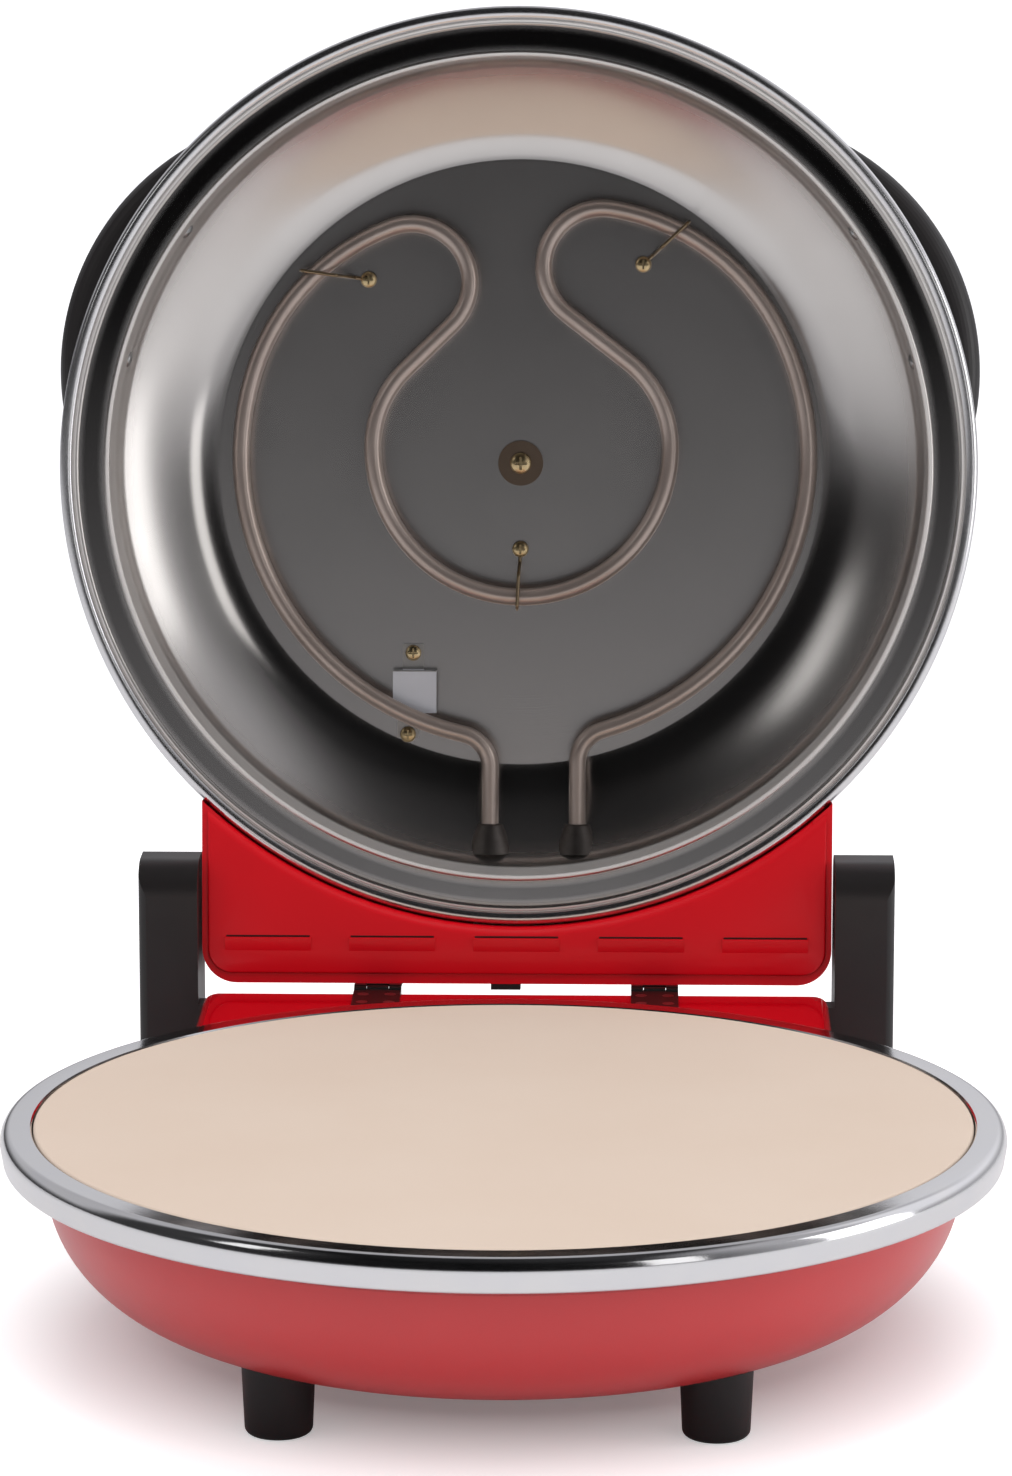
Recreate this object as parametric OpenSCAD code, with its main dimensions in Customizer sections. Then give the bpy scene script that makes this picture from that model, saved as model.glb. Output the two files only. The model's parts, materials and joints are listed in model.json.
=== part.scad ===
// Electric pizza maker: round stone base, domed lid on a rear hinge, thermostat on the lid.
// Modelled with the lid closed about the axis of the stone; the lid is then swung open.

/* [Round body] */
// Outer radius of the bright rims
rim_r = 170; // [165:1:176]
// Height of the base rim plane above the table
rim_z = 84; // [80:1:96]
// Radius of the rolled bead at the rim edge
bead_r = 3; // [2:0.5:4]
// Height of the bright band
band_h = 12.6; // [11:0.2:14]
// Sheet thickness of the bright rims
rim_t = 0.9; // [0.7:0.1:1.2]
// How far the painted neck stands in from the rim edge
neck_in = 15; // [13:0.5:17]
// Sheet thickness of the painted pressings
sheet_t = 0.8; // [0.6:0.1:1.2]
// Depth of the base bowl below the rim plane
bowl_drop = 64.7; // [60:0.5:70]
// Radius of the flat bottom of the bowl
bowl_flat_r = 100; // [90:1:110]
// Height of the dome above the lid's rim plane
dome_h = 80; // [74:1:90]
// Gap between the closed rims
lid_gap = 0.6; // [0.4:0.1:1.5]

/* [Baking stone] */
// Thickness of the stone
stone_t = 11; // [9:0.5:13]
// Width of the flat rim ring outside the stone
ring_w = 10.7; // [9:0.1:12]
// Gap round the stone
stone_gap = 0.5; // [0.3:0.1:1]
// Edge chamfer of the stone
stone_edge = 0.8; // [0.4:0.1:1.5]

/* [Reflectors] */
// Sheet thickness of the reflectors
refl_t = 0.6; // [0.5:0.1:1]
// Width of the polished flange round the lid reflector's mouth
flange_w = 13.1; // [11:0.1:15]
// Width of the visible outer ring on the lid rim
lid_ring_w = 5.4; // [4.5:0.1:6.5]
// Depth of the lid's reflector plate behind the rim plane
plate_depth = 50; // [47:0.5:54]
// Radius of the flat plate
plate_r = 114; // [112:0.5:117]
// Height of the step round the plate
plate_step = 1; // [0.5:0.1:1.5]
// Depth of the base reflector under the stone
base_refl_drop = 34; // [30:0.5:40]

/* [Heating elements] */
// Diameter of the heating tube
tube_d = 6.5; // [6:0.1:8]
// Gap between the tube's centre and the plate
tube_off = 10; // [8:0.5:13]
// Radius of the outer loop
outer_loop_r = 106.8; // [103:0.2:108]
// Radius of the inner loop
inner_loop_r = 56; // [52:0.5:58]
// Radius of the sides of the inner loop
inner_side_r = 41; // [38:0.5:44]
// Radius of the two hairpin bends
hairpin_r = 22; // [20:0.5:24]
// Radius that leads from the outer loop into a hairpin
blend_r = 85; // [80:1:92]
// Radius of the bend at each leg
leg_bend_r = 13; // [11:0.5:15]
// Distance between the two legs
leg_gap = 33; // [29:0.5:36]
// Sideways place of the pair of legs
leg_mid = 5.5; // [3:0.5:7]

/* [Rear housings] */
// Width of both rear housings
house_w = 234; // [228:1:238]
// Distance of the rear walls behind the rims
house_back = 21.7; // [19:0.1:26]
// Clearance between the lid element's bushings and the lid housing's top
house_clear = 0.7; // [0.4:0.1:4]
// Radius of the housings' upright corners
house_corner = 13; // [10:0.5:16]
// Radius of the housings' top edges
house_edge = 4; // [3:0.5:6]
// Drop of the base housing's top below the rim plane
base_top_drop = 3.9; // [3.8:0.1:5.5]
// Height of the base housing
base_house_h = 46; // [40:1:50]
// How far the base housing's sides stand in from the lid housing's
base_inset = 1.5; // [0:0.1:3]
// Drop of the lid housing's lip below the lid's rim plane
lip_drop = 0.8; // [0.5:0.1:0.9]
// How far the louvred cover stands out from the lip
cover_proud = 1.6; // [1.2:0.1:1.7]
// Inset of the cover at the sides
cover_side = 2.2; // [1.8:0.1:4]
// Inset of the cover at the rear
cover_rear = 3.7; // [2.5:0.1:5]
// Number of louvres in the cover
louvre_n = 5; // [3:1:7]
// Distance between louvres
louvre_pitch = 46.2; // [36:0.2:48]
// Width of a louvre
louvre_w = 32; // [20:0.5:34]
// Front-to-back depth of a louvre
louvre_d = 5.3; // [4:0.1:6.5]
// Height of a louvre
louvre_h = 1.6; // [1.3:0.1:2]

/* [Hinge] */
// Distance of the hinge pin behind the rear walls
pin_back = 2.8; // [2.8:0.1:4]
// Drop of the hinge pin below the rim plane
pin_drop = 4.5; // [4.2:0.1:4.8]
// Angle that the lid opens from closed
open_angle = 96.4; // [90:0.2:100]
// Distance of each hinge from the middle
hinge_x = 51.4; // [40:0.2:70]
// Width of a hinge
hinge_w = 17.5; // [15:0.5:22]
// Length of a hinge leaf on its housing
leaf_l = 24; // [18:0.5:25]
// Thickness of a hinge leaf
leaf_t = 1; // [0.8:0.1:1]
// Diameter of a knuckle
knuckle_d = 5; // [4.6:0.1:5]
// Diameter of the hinge pin
pin_d = 2.8; // [2.4:0.1:3]
// Radial running clearance of the pin in the lid's knuckles
pin_gap = 0.06; // [0.03:0.01:0.1]

/* [Stands, feet and handles] */
// Thickness of a rear stand
stand_w = 22; // [18:1:26]
// Front-to-back depth of a rear stand
stand_d = 34.5; // [30:0.5:50]
// Height of a rear stand above the rim plane
stand_rise = 44; // [36:1:56]
// Gap between a stand and the lid housing
stand_gap = 1; // [0.6:0.1:2]
// Radius of a stand's top edges
stand_round = 12; // [8:1:16]
// Diameter of a front foot
foot_d = 24.5; // [20:0.5:30]
// Sideways place of a front foot
foot_x = 71.5; // [60:0.5:76]
// Forward place of a front foot
foot_y = 85; // [70:0.5:90]
// How far a handle stands out from the lid rim
handle_reach = 9.2; // [7:0.2:16]
// Angle from the side of the lid to the middle of a handle
handle_angle = 25; // [20:1:35]
// Half of the angle that a handle spans at the rim
handle_half = 20; // [16:0.5:22]
// Thickness of a handle
handle_t = 20; // [16:0.5:24]
// Height of a handle's underside above the lid's rim plane
handle_low = 17; // [16:0.5:20]

/* [Thermostat] */
// Distance of the knob in front of the lid housing's rear wall
knob_in = 23.7; // [21.7:0.1:24.7]
// Diameter of the knob's skirt
knob_d = 31; // [27:0.5:34]
// Height of the knob
knob_h = 17; // [14:0.5:20]
// Diameter of the dial plate
dial_d = 36; // [35:0.5:37]
// Thickness of the dial plate
dial_t = 0.5; // [0.4:0.1:0.8]
// Diameter of the thermostat shaft
shaft_d = 6; // [5.5:0.1:6.4]
// Radial running clearance of the shaft in its neck
shaft_gap = 0.06; // [0.03:0.01:0.1]
// Sideways place of the pilot lamp
lamp_x = -45; // [-60:1:-30]
// Diameter of the pilot lamp's lens
lamp_d = 12; // [9:0.5:15]

/* [Hidden] */
$fn = 72;
ARC_N = 8;
OVAL_N = 24;
// Seat clearance between pieces that are fixed to each other
seat = 0.3;
// Small gap between nested sheets
nest = 0.1;
// Where two bends of a tube or wire meet, a joint this much thicker spans a short slack
joint_swell = 0.1;
joint_slack = 0.1;
ball_turn = 40;
// Radius of the curl at the lower edge of the bright band, and how far that edge draws in
curl_r = 1.6;
band_in = 1;
// Rise of the return flange from the band to the neck
return_rise = 3.6;
// Length of the straight neck outside the return flange
neck_len = 0.8;
// How far the bowl's hidden flange reaches outwards
hem_w = 8;
// Exponent of the dome's outline; 2 is an ellipse
dome_n = 2.3;

neck_r = rim_r - neck_in;
lip_r = rim_r - lid_ring_w - flange_w;
house_rear = rim_r + house_back;
knob_y = house_rear - knob_in;
bushing_d = 10;
bushing_collar = 1;
house_top = plate_depth - tube_off + bushing_d / 2 + bushing_collar + house_clear + sheet_t;
handle_r = rim_r + handle_reach;
band_low_r = rim_r - band_in;
return_r = neck_r + seat;
return_z = band_h + return_rise;
neck_z = return_z + neck_len;
return_slope = return_rise / (band_low_r - curl_r - return_r);
stone_in_r = rim_r - ring_w;
stone_r = stone_in_r - stone_gap;
lid_in_r = rim_r - lid_ring_w;
refl_out_r = rim_r - 2 * rim_t - band_in - 0.2;
flange_h = 1.5;
lip_bend = 2.5;
lid_z = rim_z + lid_gap;
hinge_y = house_rear + pin_back;
hinge_z = rim_z - pin_drop;
lean = open_angle - 90;

// Points along an arc of a circle or of an oval
function arc(cx, cy, r, a0, a1, n = ARC_N) = oval(cx, cy, r, r, a0, a1, n);
function oval(cx, cy, rx, ry, a0, a1, n = OVAL_N) =
    [for (i = [0 : n]) let (a = a0 + (a1 - a0) * i / n) [cx + rx * cos(a), cy + ry * sin(a)]];

// Points along the dome from the neck to the crown; grow is an outward offset
function dome_curve(grow) =
    [for (i = [0 : OVAL_N]) let (a = 90 * i / OVAL_N)
        [(neck_r + grow) * pow(cos(a), 2 / dome_n),
         neck_z + (dome_h - neck_z + grow) * pow(sin(a), 2 / dome_n)]];

// Radius half-way between the lid reflector's back and the dome's inside, at a height above the rim plane
function gap_r(h) = (reflector_r(h) + dome_r(h) - sheet_t) / 2;
function reflector_r(h) = plate_r + (lip_r - plate_r + refl_t) * sqrt(max(0, 1 - pow(wall_share(h), 2)));
function wall_share(h) = (h - flange_h - lip_bend) / (plate_depth - flange_h - lip_bend + refl_t);

// Radius of the dome's outer surface at a height above the lid's rim plane
function dome_r(h) = neck_r * pow(1 - pow((h - neck_z) / (dome_h - neck_z), dome_n), 1 / dome_n);

// The model is centred front to back on its box, with the lid open
rear_y = hinge_y + max([for (p = dome_curve(0))
    (hinge_y + p[0]) * sin(lean) + (lid_z + p[1] - hinge_z) * cos(lean)]);
mid_y = (rear_y - rim_r) / 2;

tube_h = plate_depth - tube_off;
base_plate_z = rim_z - stone_t - base_refl_drop;
base_tube_z = base_plate_z + tube_off;
base_top_z = rim_z - base_top_drop;
lip_z = lid_z - lip_drop;
house_top_z = lid_z + house_top;

// Placing

module base_frame() { translate([0, -mid_y, 0]) children(); }

module lid_frame() {
    translate([0, hinge_y - mid_y, hinge_z])
        rotate([-open_angle, 0, 0])
        translate([0, -hinge_y, -hinge_z])
        children();
}

// Small parts used in several places

module rod(p, q, d) {
    v = q - p;
    translate(p) rotate([0, acos(v[2] / norm(v)), atan2(v[1], v[0])]) cylinder(h = norm(v), d = d);
}

// A bent wire through a list of points, with rounded ends
module wire(pts, d) {
    for (i = [0 : len(pts) - 2]) rod(pts[i], pts[i + 1], d);
    for (p = pts) translate(p) rotate([0, 0, ball_turn]) sphere(d = d + joint_swell);
}

// Short collar over the end of a bend, along the direction of the tube or wire there
module collar(p, turn, d) {
    translate(p) rotate([0, 90, turn]) cylinder(h = 6 * joint_slack, d = d + joint_swell, center = true);
}

// A wire in one plane through a list of points, with a round bend at each inner point
module bent_wire(pts, bend_r, d) {
    n = len(pts) - 1;
    u = [for (i = [0 : n - 1]) (pts[i + 1] - pts[i]) / norm(pts[i + 1] - pts[i])];
    h = [for (v = u) atan2(v[1], v[0])];
    t = [for (i = [0 : n]) i == 0 || i == n ? 0 : bend_r * tan(abs(h[i] - h[i - 1]) / 2)];
    slack = joint_slack / bend_r * 180 / PI;
    for (i = [0 : n - 1]) {
        a = pts[i] + t[i] * u[i];
        b = pts[i + 1] - t[i + 1] * u[i];
        from = a + (i > 0 ? joint_slack : 0) * u[i];
        to = b - (i < n - 1 ? joint_slack : 0) * u[i];
        rod([from[0], from[1], 0], [to[0], to[1], 0], d);
        if (i > 0) collar([a[0], a[1], 0], h[i], d);
        if (i < n - 1) collar([b[0], b[1], 0], h[i], d);
    }
    for (i = [1 : n - 1]) {
        turn = sign(h[i] - h[i - 1]);
        c = pts[i] - t[i] * u[i - 1] + turn * bend_r * [-u[i - 1][1], u[i - 1][0]];
        translate([c[0], c[1], 0]) rotate([0, 0, (turn > 0 ? h[i - 1] - 90 : h[i] + 90) + slack])
            rotate_extrude(angle = abs(h[i] - h[i - 1]) - 2 * slack) translate([bend_r, 0]) circle(d = d);
    }
}

// A pan-head screw whose head's underside lies at z = 0, the shank along -z
module pan_screw(d, l) {
    translate([0, 0, -l]) cylinder(h = l, d = d);
    difference() {
        rotate_extrude() polygon(concat([[0, 0], [d, 0]], oval(0, 0.2 * d, d, 0.45 * d, 0, 90, 6)));
        for (a = [0, 90]) rotate([0, 0, a])
            translate([-0.6 * d, -0.12 * d, 0.4 * d]) cube([1.2 * d, 0.24 * d, d]);
    }
}

// A countersunk screw whose head lies flush with z = 0, the shank along -z
module flush_screw(d, l) {
    translate([0, 0, -l]) cylinder(h = l, d = d);
    translate([0, 0, -0.5 * d]) cylinder(h = 0.5 * d, d1 = d, d2 = 2 * d);
}

module flush_hole(d, l) {
    translate([0, 0, -l]) cylinder(h = l + 1, d = d + 0.2);
    translate([0, 0, -0.5 * d]) cylinder(h = 0.5 * d + 0.01, d1 = d + 0.2, d2 = 2 * d + 0.2);
    cylinder(h = 1, d = 2 * d + 0.2);
}

// Bright rims

// Half section of a rim with its plane at z = 0 and its band below; in_r is the ring's inner
// radius and skirt the height of the turned edge there
module rim_section(in_r, skirt) {
    bead = rim_r - bead_r;
    curl = band_low_r - curl_r;
    edge = 0.5;
    polygon(concat(
        [[in_r, -skirt], [in_r, -edge], [in_r + edge, 0]],
        arc(bead, -bead_r, bead_r, 90, 0),
        arc(curl, curl_r - band_h, curl_r, 0, -90),
        [[return_r, -return_z], [return_r, rim_t - return_z]],
        arc(curl, curl_r - band_h, curl_r - rim_t, -90, 0),
        arc(bead, -bead_r, bead_r - rim_t, 0, 90),
        [[in_r + rim_t + edge, -rim_t], [in_r + rim_t, -rim_t - edge], [in_r + rim_t, -skirt]]));
}

// Hidden flange that a painted pressing lays on the rim's return flange
function hem_z(r) = rim_t + nest - return_z + (r - return_r) * return_slope;

module base_rim() {
    color("silver") base_frame() translate([0, 0, rim_z])
        rotate_extrude() rim_section(stone_in_r, stone_t);
}

module lid_rim() {
    color("silver") lid_frame() translate([0, 0, lid_z]) mirror([0, 0, 1])
        rotate_extrude() rim_section(lid_in_r, flange_h);
}

// Painted bowl and dome

module bowl_section(grow) {
    wall = neck_r + grow - bowl_flat_r;
    polygon(concat([[0, -bowl_drop - grow], [0, 0], [neck_r + grow, 0]],
        oval(bowl_flat_r, -neck_z, wall, bowl_drop - neck_z + grow, 0, -90)));
}

module base_shell() {
    in_wall = neck_r - sheet_t - bowl_flat_r;
    hem_r = neck_r + hem_w;
    color("firebrick") base_frame() translate([0, 0, rim_z]) difference() {
        rotate_extrude() polygon(concat(
            [[hem_r, hem_z(hem_r)], [neck_r, hem_z(neck_r)]],
            oval(bowl_flat_r, -neck_z, neck_r - bowl_flat_r, bowl_drop - neck_z, 0, -90),
            [[0, -bowl_drop], [0, sheet_t - bowl_drop]],
            oval(bowl_flat_r, -neck_z, in_wall, bowl_drop - neck_z - sheet_t, -90, 0),
            [[neck_r - sheet_t, hem_z(neck_r) + sheet_t], [hem_r, hem_z(hem_r) + sheet_t]]));
        for (x = [-foot_x, foot_x]) translate([x, -foot_y, -bowl_drop - 1]) cylinder(h = 4, d = 4.3);
        translate([0, 0, -bowl_drop - 1]) cylinder(h = 4, d = 4.3);
        translate([0, 0, base_tube_z - rim_z]) bushing_holes();
    }
}

module lid_shell() {
    hem_r = neck_r + hem_w;
    color("firebrick") lid_frame() translate([0, 0, lid_z]) difference() {
        rotate_extrude() polygon(concat(
            [[hem_r, -hem_z(hem_r)], [neck_r, -hem_z(neck_r)]],
            dome_curve(0),
            [for (i = [OVAL_N : -1 : 0]) dome_curve(-sheet_t)[i]],
            [[neck_r - sheet_t, -hem_z(neck_r) - sheet_t], [hem_r, -hem_z(hem_r) - sheet_t]]));
        translate([0, 0, tube_h]) bushing_holes();
        translate([leg_mid, neck_r - 20, capillary_h]) rotate([-90, 0, 0]) cylinder(h = 40, d = 4);
        for (s = [-1, 1], k = [-1, 1]) handle_screw_place(s, k) cylinder(h = 16, d = 4.3, center = true);
    }
}

// Everything inside the lid's or the base's outer surface, grown by a clearance
module dome_space(grow) {
    rotate_extrude() polygon(concat(
        [[0, -20], [rim_r + grow, -20], [rim_r + grow, band_h + grow], [neck_r + 2 * grow, neck_z]],
        dome_curve(grow)));
}

module bowl_space(grow) {
    union() {
        rotate_extrude() bowl_section(grow);
        rotate_extrude() polygon([[0, 20], [rim_r + grow, 20], [rim_r + grow, -band_h - grow],
            [neck_r + 2 * grow, -neck_z], [0, -neck_z]]);
    }
}

// Baking stone

module baking_stone() {
    color("bisque") base_frame() translate([0, 0, rim_z - stone_t])
        rotate_extrude() polygon([[0, 0], [stone_r - stone_edge, 0], [stone_r, stone_edge],
            [stone_r, stone_t - stone_edge], [stone_r - stone_edge, stone_t], [0, stone_t]]);
}

// Reflectors

// Half section of a reflector with its flange face at z = 0 and its plate at z = drop
module reflector_section(out_r, drop) {
    bend = lip_bend;
    wall_in = lip_r - plate_r;
    wall_out = wall_in + refl_t;
    rise = drop - bend;
    step = plate_r + 2 * plate_step;
    cut = 80;
    polygon(concat(
        [[out_r, 0], [out_r, refl_t]],
        [for (p = arc(lip_r + bend, bend, bend - refl_t, 270, 180)) p],
        oval(plate_r, bend, wall_out, rise + refl_t, 0, cut),
        [[step, drop + refl_t], [plate_r + plate_step, drop + plate_step + refl_t],
         [0, drop + plate_step + refl_t], [0, drop + plate_step],
         [plate_r, drop + plate_step], [plate_r + plate_step, drop]],
        oval(plate_r, bend, wall_in, rise, cut, 0),
        arc(lip_r + bend, bend, bend, 180, 270)));
}

module leg_holes(z) {
    for (x = leg_xs()) translate([x, plate_r, z]) rotate([-90, 0, 0]) cylinder(h = 40, d = tube_d + 1);
}

module lid_reflector() {
    color("lightgray") lid_frame() translate([0, 0, lid_z]) difference() {
        translate([0, 0, flange_h]) rotate_extrude() reflector_section(refl_out_r, plate_depth - flange_h);
        leg_holes(tube_h);
        for (p = concat(lid_clip_points, strap_screw_points))
            translate([p[0], p[1], plate_depth - 2]) cylinder(h = 6, d = clip_hole_d);
        translate([0, 0, plate_depth - 2]) cylinder(h = 6, d = 4.4);
        translate([capillary_x, strap_y, plate_depth - 2]) cylinder(h = 6, d = 3.4);
    }
}

module base_reflector() {
    color("lightgray") base_frame() difference() {
        translate([0, 0, rim_z - stone_t]) mirror([0, 0, 1])
            rotate_extrude() reflector_section(refl_out_r, base_refl_drop);
        leg_holes(base_tube_z);
        for (p = base_clip_points) translate([p[0], p[1], base_plate_z - 6]) cylinder(h = 8, d = clip_hole_d);
        translate([0, 0, base_plate_z - 6]) cylinder(h = 8, d = 4.4);
    }
}

// Heating elements

// Centres of the loops, seen from above with the rear at +y
outer_c = [1.7, -2.4];
inner_c = [0.5, -6];
left_pin_c = [-41, -68];
right_pin_c = [30.6, -74];

function leg_xs() = [leg_mid - leg_gap / 2, leg_mid + leg_gap / 2];
function leg_bend_c(x) =
    [x, outer_c[1] + sqrt(pow(outer_loop_r + leg_bend_r, 2) - pow(x - outer_c[0], 2))];

// Centre of the arc that lies in the outer loop and holds a hairpin, tangent to both
function blend_c(pin, side) =
    let (v = pin - outer_c, d = norm(v), a = outer_loop_r - blend_r, b = blend_r - hairpin_r,
         turn = atan2(v[1], v[0]) + side * acos((a * a + d * d - b * b) / (2 * a * d)))
    outer_c + a * [cos(turn), sin(turn)];

function bend(c, r, turn) = [c[0], c[1], r, turn];

// The tube's bends in order from one leg to the other: centre, radius, turn (1 anticlockwise)
side_off = [inner_loop_r - inner_side_r, 0];
BENDS = [
    bend(leg_bend_c(leg_xs()[0] - leg_bend_r), leg_bend_r, -1),
    bend(outer_c, outer_loop_r, 1),
    bend(blend_c(left_pin_c, -1), blend_r, 1),
    bend(left_pin_c, hairpin_r, 1),
    bend(inner_c - side_off, inner_side_r, -1),
    bend(inner_c, inner_loop_r, -1),
    bend(inner_c + side_off, inner_side_r, -1),
    bend(right_pin_c, hairpin_r, 1),
    bend(blend_c(right_pin_c, 1), blend_r, 1),
    bend(outer_c, outer_loop_r, 1),
    bend(leg_bend_c(leg_xs()[1] + leg_bend_r), leg_bend_r, -1)];
LAST = len(BENDS) - 1;

// Straight tangent from bend i to the next: its length and its heading
function off(i) = [BENDS[i + 1][0] - BENDS[i][0], BENDS[i + 1][1] - BENDS[i][1]];
function cross_r(i) = BENDS[i][3] * BENDS[i][2] - BENDS[i + 1][3] * BENDS[i + 1][2];
function run(i) = sqrt(max(0, off(i) * off(i) - pow(cross_r(i), 2)));
function head(i) = atan2(off(i)[1], off(i)[0]) + atan2(cross_r(i), run(i));
function turned(a) = a - 360 * floor(a / 360);

module heating_tube(leg_end) {
    for (i = [0 : LAST]) {
        b = BENDS[i];
        from = i == 0 ? -90 : head(i - 1);
        to = i == LAST ? 90 : head(i);
        slack = joint_slack / b[2] * 180 / PI;
        sweep = turned(b[3] * (to - from));
        start = b[3] > 0 ? from - 90 : from + 90 - sweep;
        translate([b[0], b[1], 0]) rotate([0, 0, start + slack])
            rotate_extrude(angle = sweep - 2 * slack) translate([b[2], 0]) circle(d = tube_d);
        if (i < LAST) {
            a = head(i) - 90 * b[3];
            p = [b[0] + b[2] * cos(a), b[1] + b[2] * sin(a), 0];
            way = [cos(head(i)), sin(head(i)), 0];
            collar(p, head(i), tube_d);
            if (run(i) > 1) {
                rod(p + joint_slack * way, p + (run(i) - joint_slack) * way, tube_d);
                collar(p + run(i) * way, head(i), tube_d);
            }
        }
    }
    for (i = [0, 1]) {
        y = BENDS[i * LAST][1];
        collar([leg_xs()[i], y, 0], 90, tube_d);
        translate([leg_xs()[i], y + joint_slack, 0]) rotate([-90, 0, 0])
            cylinder(h = leg_end - y - joint_slack, d = tube_d);
        translate([leg_xs()[i], leg_end, 0]) rotate([-90, 0, 0]) cylinder(h = pin_out, d = 2.5);
    }
}

// Ceramic bushings round the legs, in the wall of the dome or bowl
bushing_l = 9.5;

module bushing_holes() {
    for (x = leg_xs()) translate([x, neck_r - 20, 0]) rotate([-90, 0, 0])
        cylinder(h = 40, d = bushing_d + 2 * nest);
}

// Sleeves from y0 on, each with a collar that rests on the outside of the wall
module bushings(y0, collar_y) {
    for (x = leg_xs()) translate([x, 0, 0]) rotate([-90, 0, 0]) difference() {
        union() {
            translate([0, 0, collar_y]) cylinder(h = 1.5, d = bushing_d + 2 * bushing_collar);
            translate([0, 0, y0]) cylinder(h = bushing_l, d = bushing_d);
        }
        translate([0, 0, y0 - 1]) cylinder(h = bushing_l + 3, d = tube_d + 2 * nest);
    }
}

lid_bushing_y = neck_r - 11.3;
base_bushing_y = neck_r - 8.6;
pin_out = 3;

module lid_element() {
    color("rosybrown") lid_frame() translate([0, 0, lid_z + tube_h])
        heating_tube(lid_bushing_y + bushing_l - 1);
}

module base_element() {
    color("rosybrown") base_frame() translate([0, 0, base_tube_z])
        heating_tube(base_bushing_y + bushing_l - 1);
}

module lid_element_bushings() {
    color("ivory") lid_frame() translate([0, 0, lid_z + tube_h])
        bushings(lid_bushing_y, lid_bushing_y + bushing_l - 2);
}

module base_element_bushings() {
    color("ivory") base_frame() translate([0, 0, base_tube_z])
        bushings(base_bushing_y, base_bushing_y + bushing_l - 2.8);
}

// Wire clips: each has an eye under its screw and an arm over the tube
lid_clip_points = [[-57.5, -69], [46, -75], [0, 32.5]];
lid_clip_ends = [[-82.5, -72.5], [63, -91], [-1, 54.5]];
base_clip_points = [[-84, 20], [86, 16], [0, 32.5]];
base_clip_ends = [[-110, 24], [114.5, 18.2], [-1, 54.5]];

wire_d = 1.3;
wire_bend_r = 1.5;
eye_r = 2.4;
eye_run = 3;
rise_back = 13.5;
hook_l = 1;
hook_drop = 3;
clip_hole_d = 3.2;
clip_screw_d = 3;
clip_screw_l = 6;

// The clip stands on a plate at z = 0, below the tube
module clip(p, q) {
    reach = norm(q - p);
    low = (wire_d + joint_swell) / 2;
    over = plate_step + tube_off + (tube_d + wire_d) / 2 + nest;
    translate([p[0], p[1], low]) rotate_extrude() translate([eye_r, 0]) circle(d = wire_d + joint_swell, $fn = 24);
    translate([p[0], p[1], 0]) rotate([90, 0, atan2(q[1] - p[1], q[0] - p[0])])
        bent_wire([[eye_r, low], [eye_r + eye_run, low], [reach - rise_back, over], [reach - hook_l, over],
            [reach, over - hook_drop]], wire_bend_r, wire_d, $fn = 24);
}

module clip_set(points, ends) {
    for (i = [0 : len(points) - 1]) clip(points[i], ends[i]);
}

module clip_screw_set(points) {
    for (p = points) translate([p[0], p[1], wire_d + nest]) pan_screw(clip_screw_d, clip_screw_l);
}

module lid_element_clips() {
    color("khaki") lid_frame() translate([0, 0, lid_z + plate_depth + plate_step]) mirror([0, 0, 1])
        clip_set(lid_clip_points, lid_clip_ends);
}

module lid_clip_screws() {
    color("khaki") lid_frame() translate([0, 0, lid_z + plate_depth + plate_step]) mirror([0, 0, 1])
        clip_screw_set(lid_clip_points);
}

module base_element_clips() {
    color("khaki") base_frame() translate([0, 0, base_plate_z - plate_step])
        clip_set(base_clip_points, base_clip_ends);
}

module base_clip_screws() {
    color("khaki") base_frame() translate([0, 0, base_plate_z - plate_step])
        clip_screw_set(base_clip_points);
}

// Centre posts, screws and washer

washer_d = 17;
washer_t = 1;

module lid_centre_post() {
    low = lid_z + plate_depth + plate_step + refl_t;
    color("gray") lid_frame() difference() {
        union() {
            translate([0, 0, low]) cylinder(h = lid_z + dome_h - sheet_t - seat - low, d = 9);
            translate([0, 0, low]) cylinder(h = 1.5, d = 22);
        }
        translate([0, 0, low - 1]) cylinder(h = 14, d = 4);
    }
}

module lid_centre_washer() {
    z = lid_z + plate_depth + plate_step - washer_t;
    color("khaki") lid_frame() translate([0, 0, z]) difference() {
        cylinder(h = washer_t, d = washer_d);
        translate([0, 0, -1]) cylinder(h = 3, d = 4.3);
    }
}

module lid_centre_screw() {
    z = lid_z + plate_depth + plate_step - washer_t;
    color("khaki") lid_frame() translate([0, 0, z]) mirror([0, 0, 1]) pan_screw(4, 12);
}

module base_centre_post() {
    low = rim_z - bowl_drop + sheet_t;
    high = base_plate_z - plate_step - refl_t;
    color("gray") base_frame() translate([0, 0, low]) difference() {
        cylinder(h = high - low, d = 9);
        translate([0, 0, -1]) cylinder(h = high - low + 2, d = 4);
    }
}

module base_centre_screw() {
    color("khaki") base_frame() translate([0, 0, base_plate_z - plate_step]) pan_screw(4, 10);
}

// Thermostat sensor under its strap on the lid's plate

strap_w = 16.5;
strap_l = 16;
bulb_d = 4.6;
bulb_l = 10;

strap_x = -39.8;
strap_y = 86.5;
strap_screw_points = [[strap_x - 0.7, strap_y - 14.5], [strap_x - 2.7, strap_y + 16.5]];
capillary_x = strap_x - 6.5;

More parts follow.
